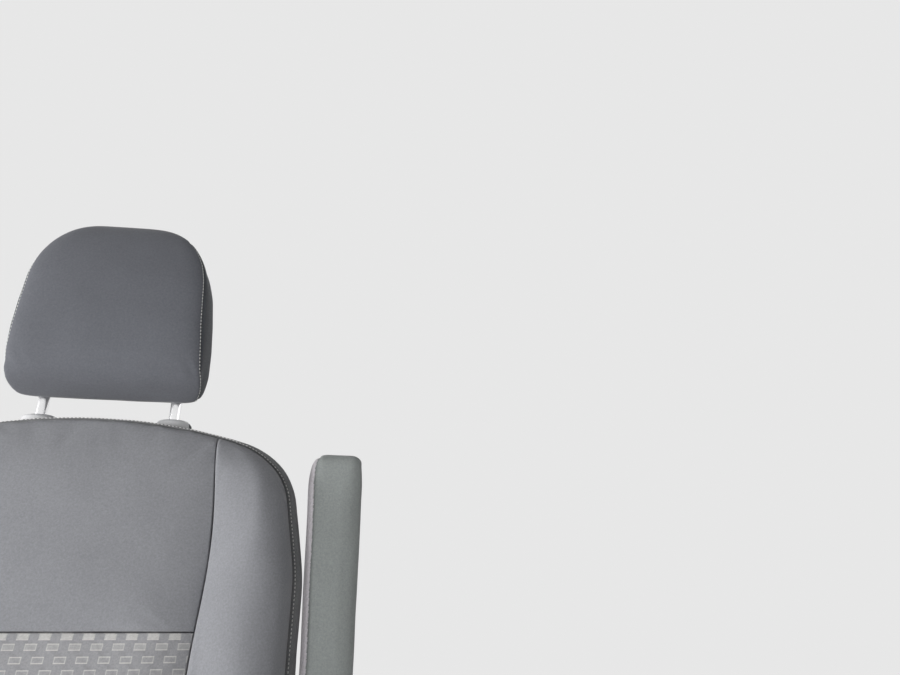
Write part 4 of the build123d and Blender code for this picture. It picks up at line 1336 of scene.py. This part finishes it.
class SEAT_OT_stage(bpy.types.Operator):
    """Floor, soft light and the camera"""
    bl_idname = "seat.stage"
    bl_label = "Stage"

    pale = (0.80, 0.80, 0.80, 1)
    lamps = (  # name, place, width and watts
        ("front", (-0.1, -2.4, 0.5), 1.3, 19),
        ("key", (-0.9, -2.2, 0.75), 1.1, 27),
        ("left", (-2.2, -0.5, 1.0), 1.0, 50),
        ("right", (2.1, 0.4, 1.2), 1.2, 4),
        ("rear", (0.3, 1.6, 2.3), 1.4, 8))

    def execute(self, context):
        stage = context.scene.seat_stage
        self.floor(stage)
        self.world(context.scene)
        for row in self.lamps:
            self.lamp(*row)
        self.camera(context.scene, stage)
        context.scene.view_settings.view_transform = "Standard"
        return {"FINISHED"}

    def floor(self, stage):
        """A matt floor that turns into the pale ground further away."""
        floor = settle(primitive("plane", "floor", size=12))
        m = Shader("floor")
        specks = m.noise(m.place(), 4.0, 3.0)
        lit = m.value("BsdfDiffuse", {"Color": m.tint(stage.floor_colour, specks.varied(0.03))})
        plain = m.value("Emission", {"Color": self.pale, "Strength": 1.0})
        away = m.value("VectorMath", {0: m.place()}, 1, operation="LENGTH").step(0.5, 2.2)
        mixed = m.value("MixShader", {0: m.seen() * (away * 0.55 + 0.45), 1: lit, 2: plain})
        m.node("OutputMaterial", {"Surface": mixed})
        floor.data.materials.append(m.owner)

    def world(self, scene):
        """An even light, with a pale ground seen by the camera and in reflections."""
        scene.world = bpy.data.worlds.new("studio")
        m = Shader("studio", scene.world)
        light = m.value("Background", {"Color": (1, 1, 1, 1), "Strength": 0.11})
        ground = m.value("Background", {"Color": self.pale, "Strength": 1.0})
        m.node("OutputWorld", {"Surface": m.value("MixShader", {0: m.seen(), 1: light, 2: ground})})

    def lamp(self, name, place, width, power):
        """A square lamp that points at the back."""
        bpy.ops.object.light_add(type="AREA", location=place)
        lamp = bpy.context.object
        lamp.name = name
        lamp.data.size = width
        lamp.data.energy = power
        aim = RECLINE_AXIS + BACK_UP * 0.4 - Vector(place)
        lamp.rotation_euler = aim.to_track_quat("-Z", "Y").to_euler()

    def camera(self, scene, stage):
        """The camera at the viewing angle of the photograph."""
        camera = bpy.data.objects.new("camera", bpy.data.cameras.new("camera"))
        scene.collection.objects.link(camera)
        camera.data.sensor_width = 36
        camera.data.lens = stage.lens
        camera.data.clip_start = 0.01
        turn, rise = stage.camera_turn, stage.camera_rise
        level = math.cos(rise)
        ahead = Vector((math.sin(turn) * level, math.cos(turn) * level, math.sin(rise)))
        right = Vector((math.cos(turn), -math.sin(turn), 0))
        up = right.cross(ahead)
        cos_roll, sin_roll = math.cos(stage.camera_roll), math.sin(stage.camera_roll)
        right, up = cos_roll * right + sin_roll * up, cos_roll * up - sin_roll * right
        turned = Matrix((right, up, -ahead)).transposed().to_4x4()
        camera.matrix_world = Matrix.Translation(Vector(stage.camera_place)) @ turned
        scene.camera = camera


OPERATORS = (
    SEAT_OT_finishes, SEAT_OT_back_panels, SEAT_OT_core_cover, SEAT_OT_headrest_cover,
    SEAT_OT_armrest_cover, SEAT_OT_cushion_covers, SEAT_OT_headrest_sleeves,
    SEAT_OT_fittings, SEAT_OT_stage)
GROUPS = {
    "seat_cloth": SEAT_PG_cloth, "seat_sewing": SEAT_PG_sewing, "seat_headrest": SEAT_PG_headrest,
    "seat_stage": SEAT_PG_stage}


class SEAT_PT_panel(bpy.types.Panel):
    """Lists the pieces of the seat"""
    bl_label = "Seat"
    bl_idname = "SEAT_PT_panel"
    bl_space_type = "VIEW_3D"
    bl_region_type = "UI"
    bl_category = "Seat"

    def draw(self, context):
        for name, group in GROUPS.items():
            box = self.layout.box()
            for key in group.__annotations__:
                box.prop(getattr(context.scene, name), key)
        for operator in OPERATORS:
            self.layout.operator(operator.bl_idname)


def register():
    for kind in (*GROUPS.values(), *OPERATORS, SEAT_PT_panel):
        bpy.utils.register_class(kind)
    for name, group in GROUPS.items():
        setattr(bpy.types.Scene, name, bpy.props.PointerProperty(type=group))


def unregister():
    for name in GROUPS:
        delattr(bpy.types.Scene, name)
    for kind in (SEAT_PT_panel, *OPERATORS[::-1], *GROUPS.values()):
        bpy.utils.unregister_class(kind)


def main():
    """Builds every piece."""
    register()
    for operator in OPERATORS:
        group, name = operator.bl_idname.split(".")
        getattr(getattr(bpy.ops, group), name)()


if __name__ == "__main__":
    main()
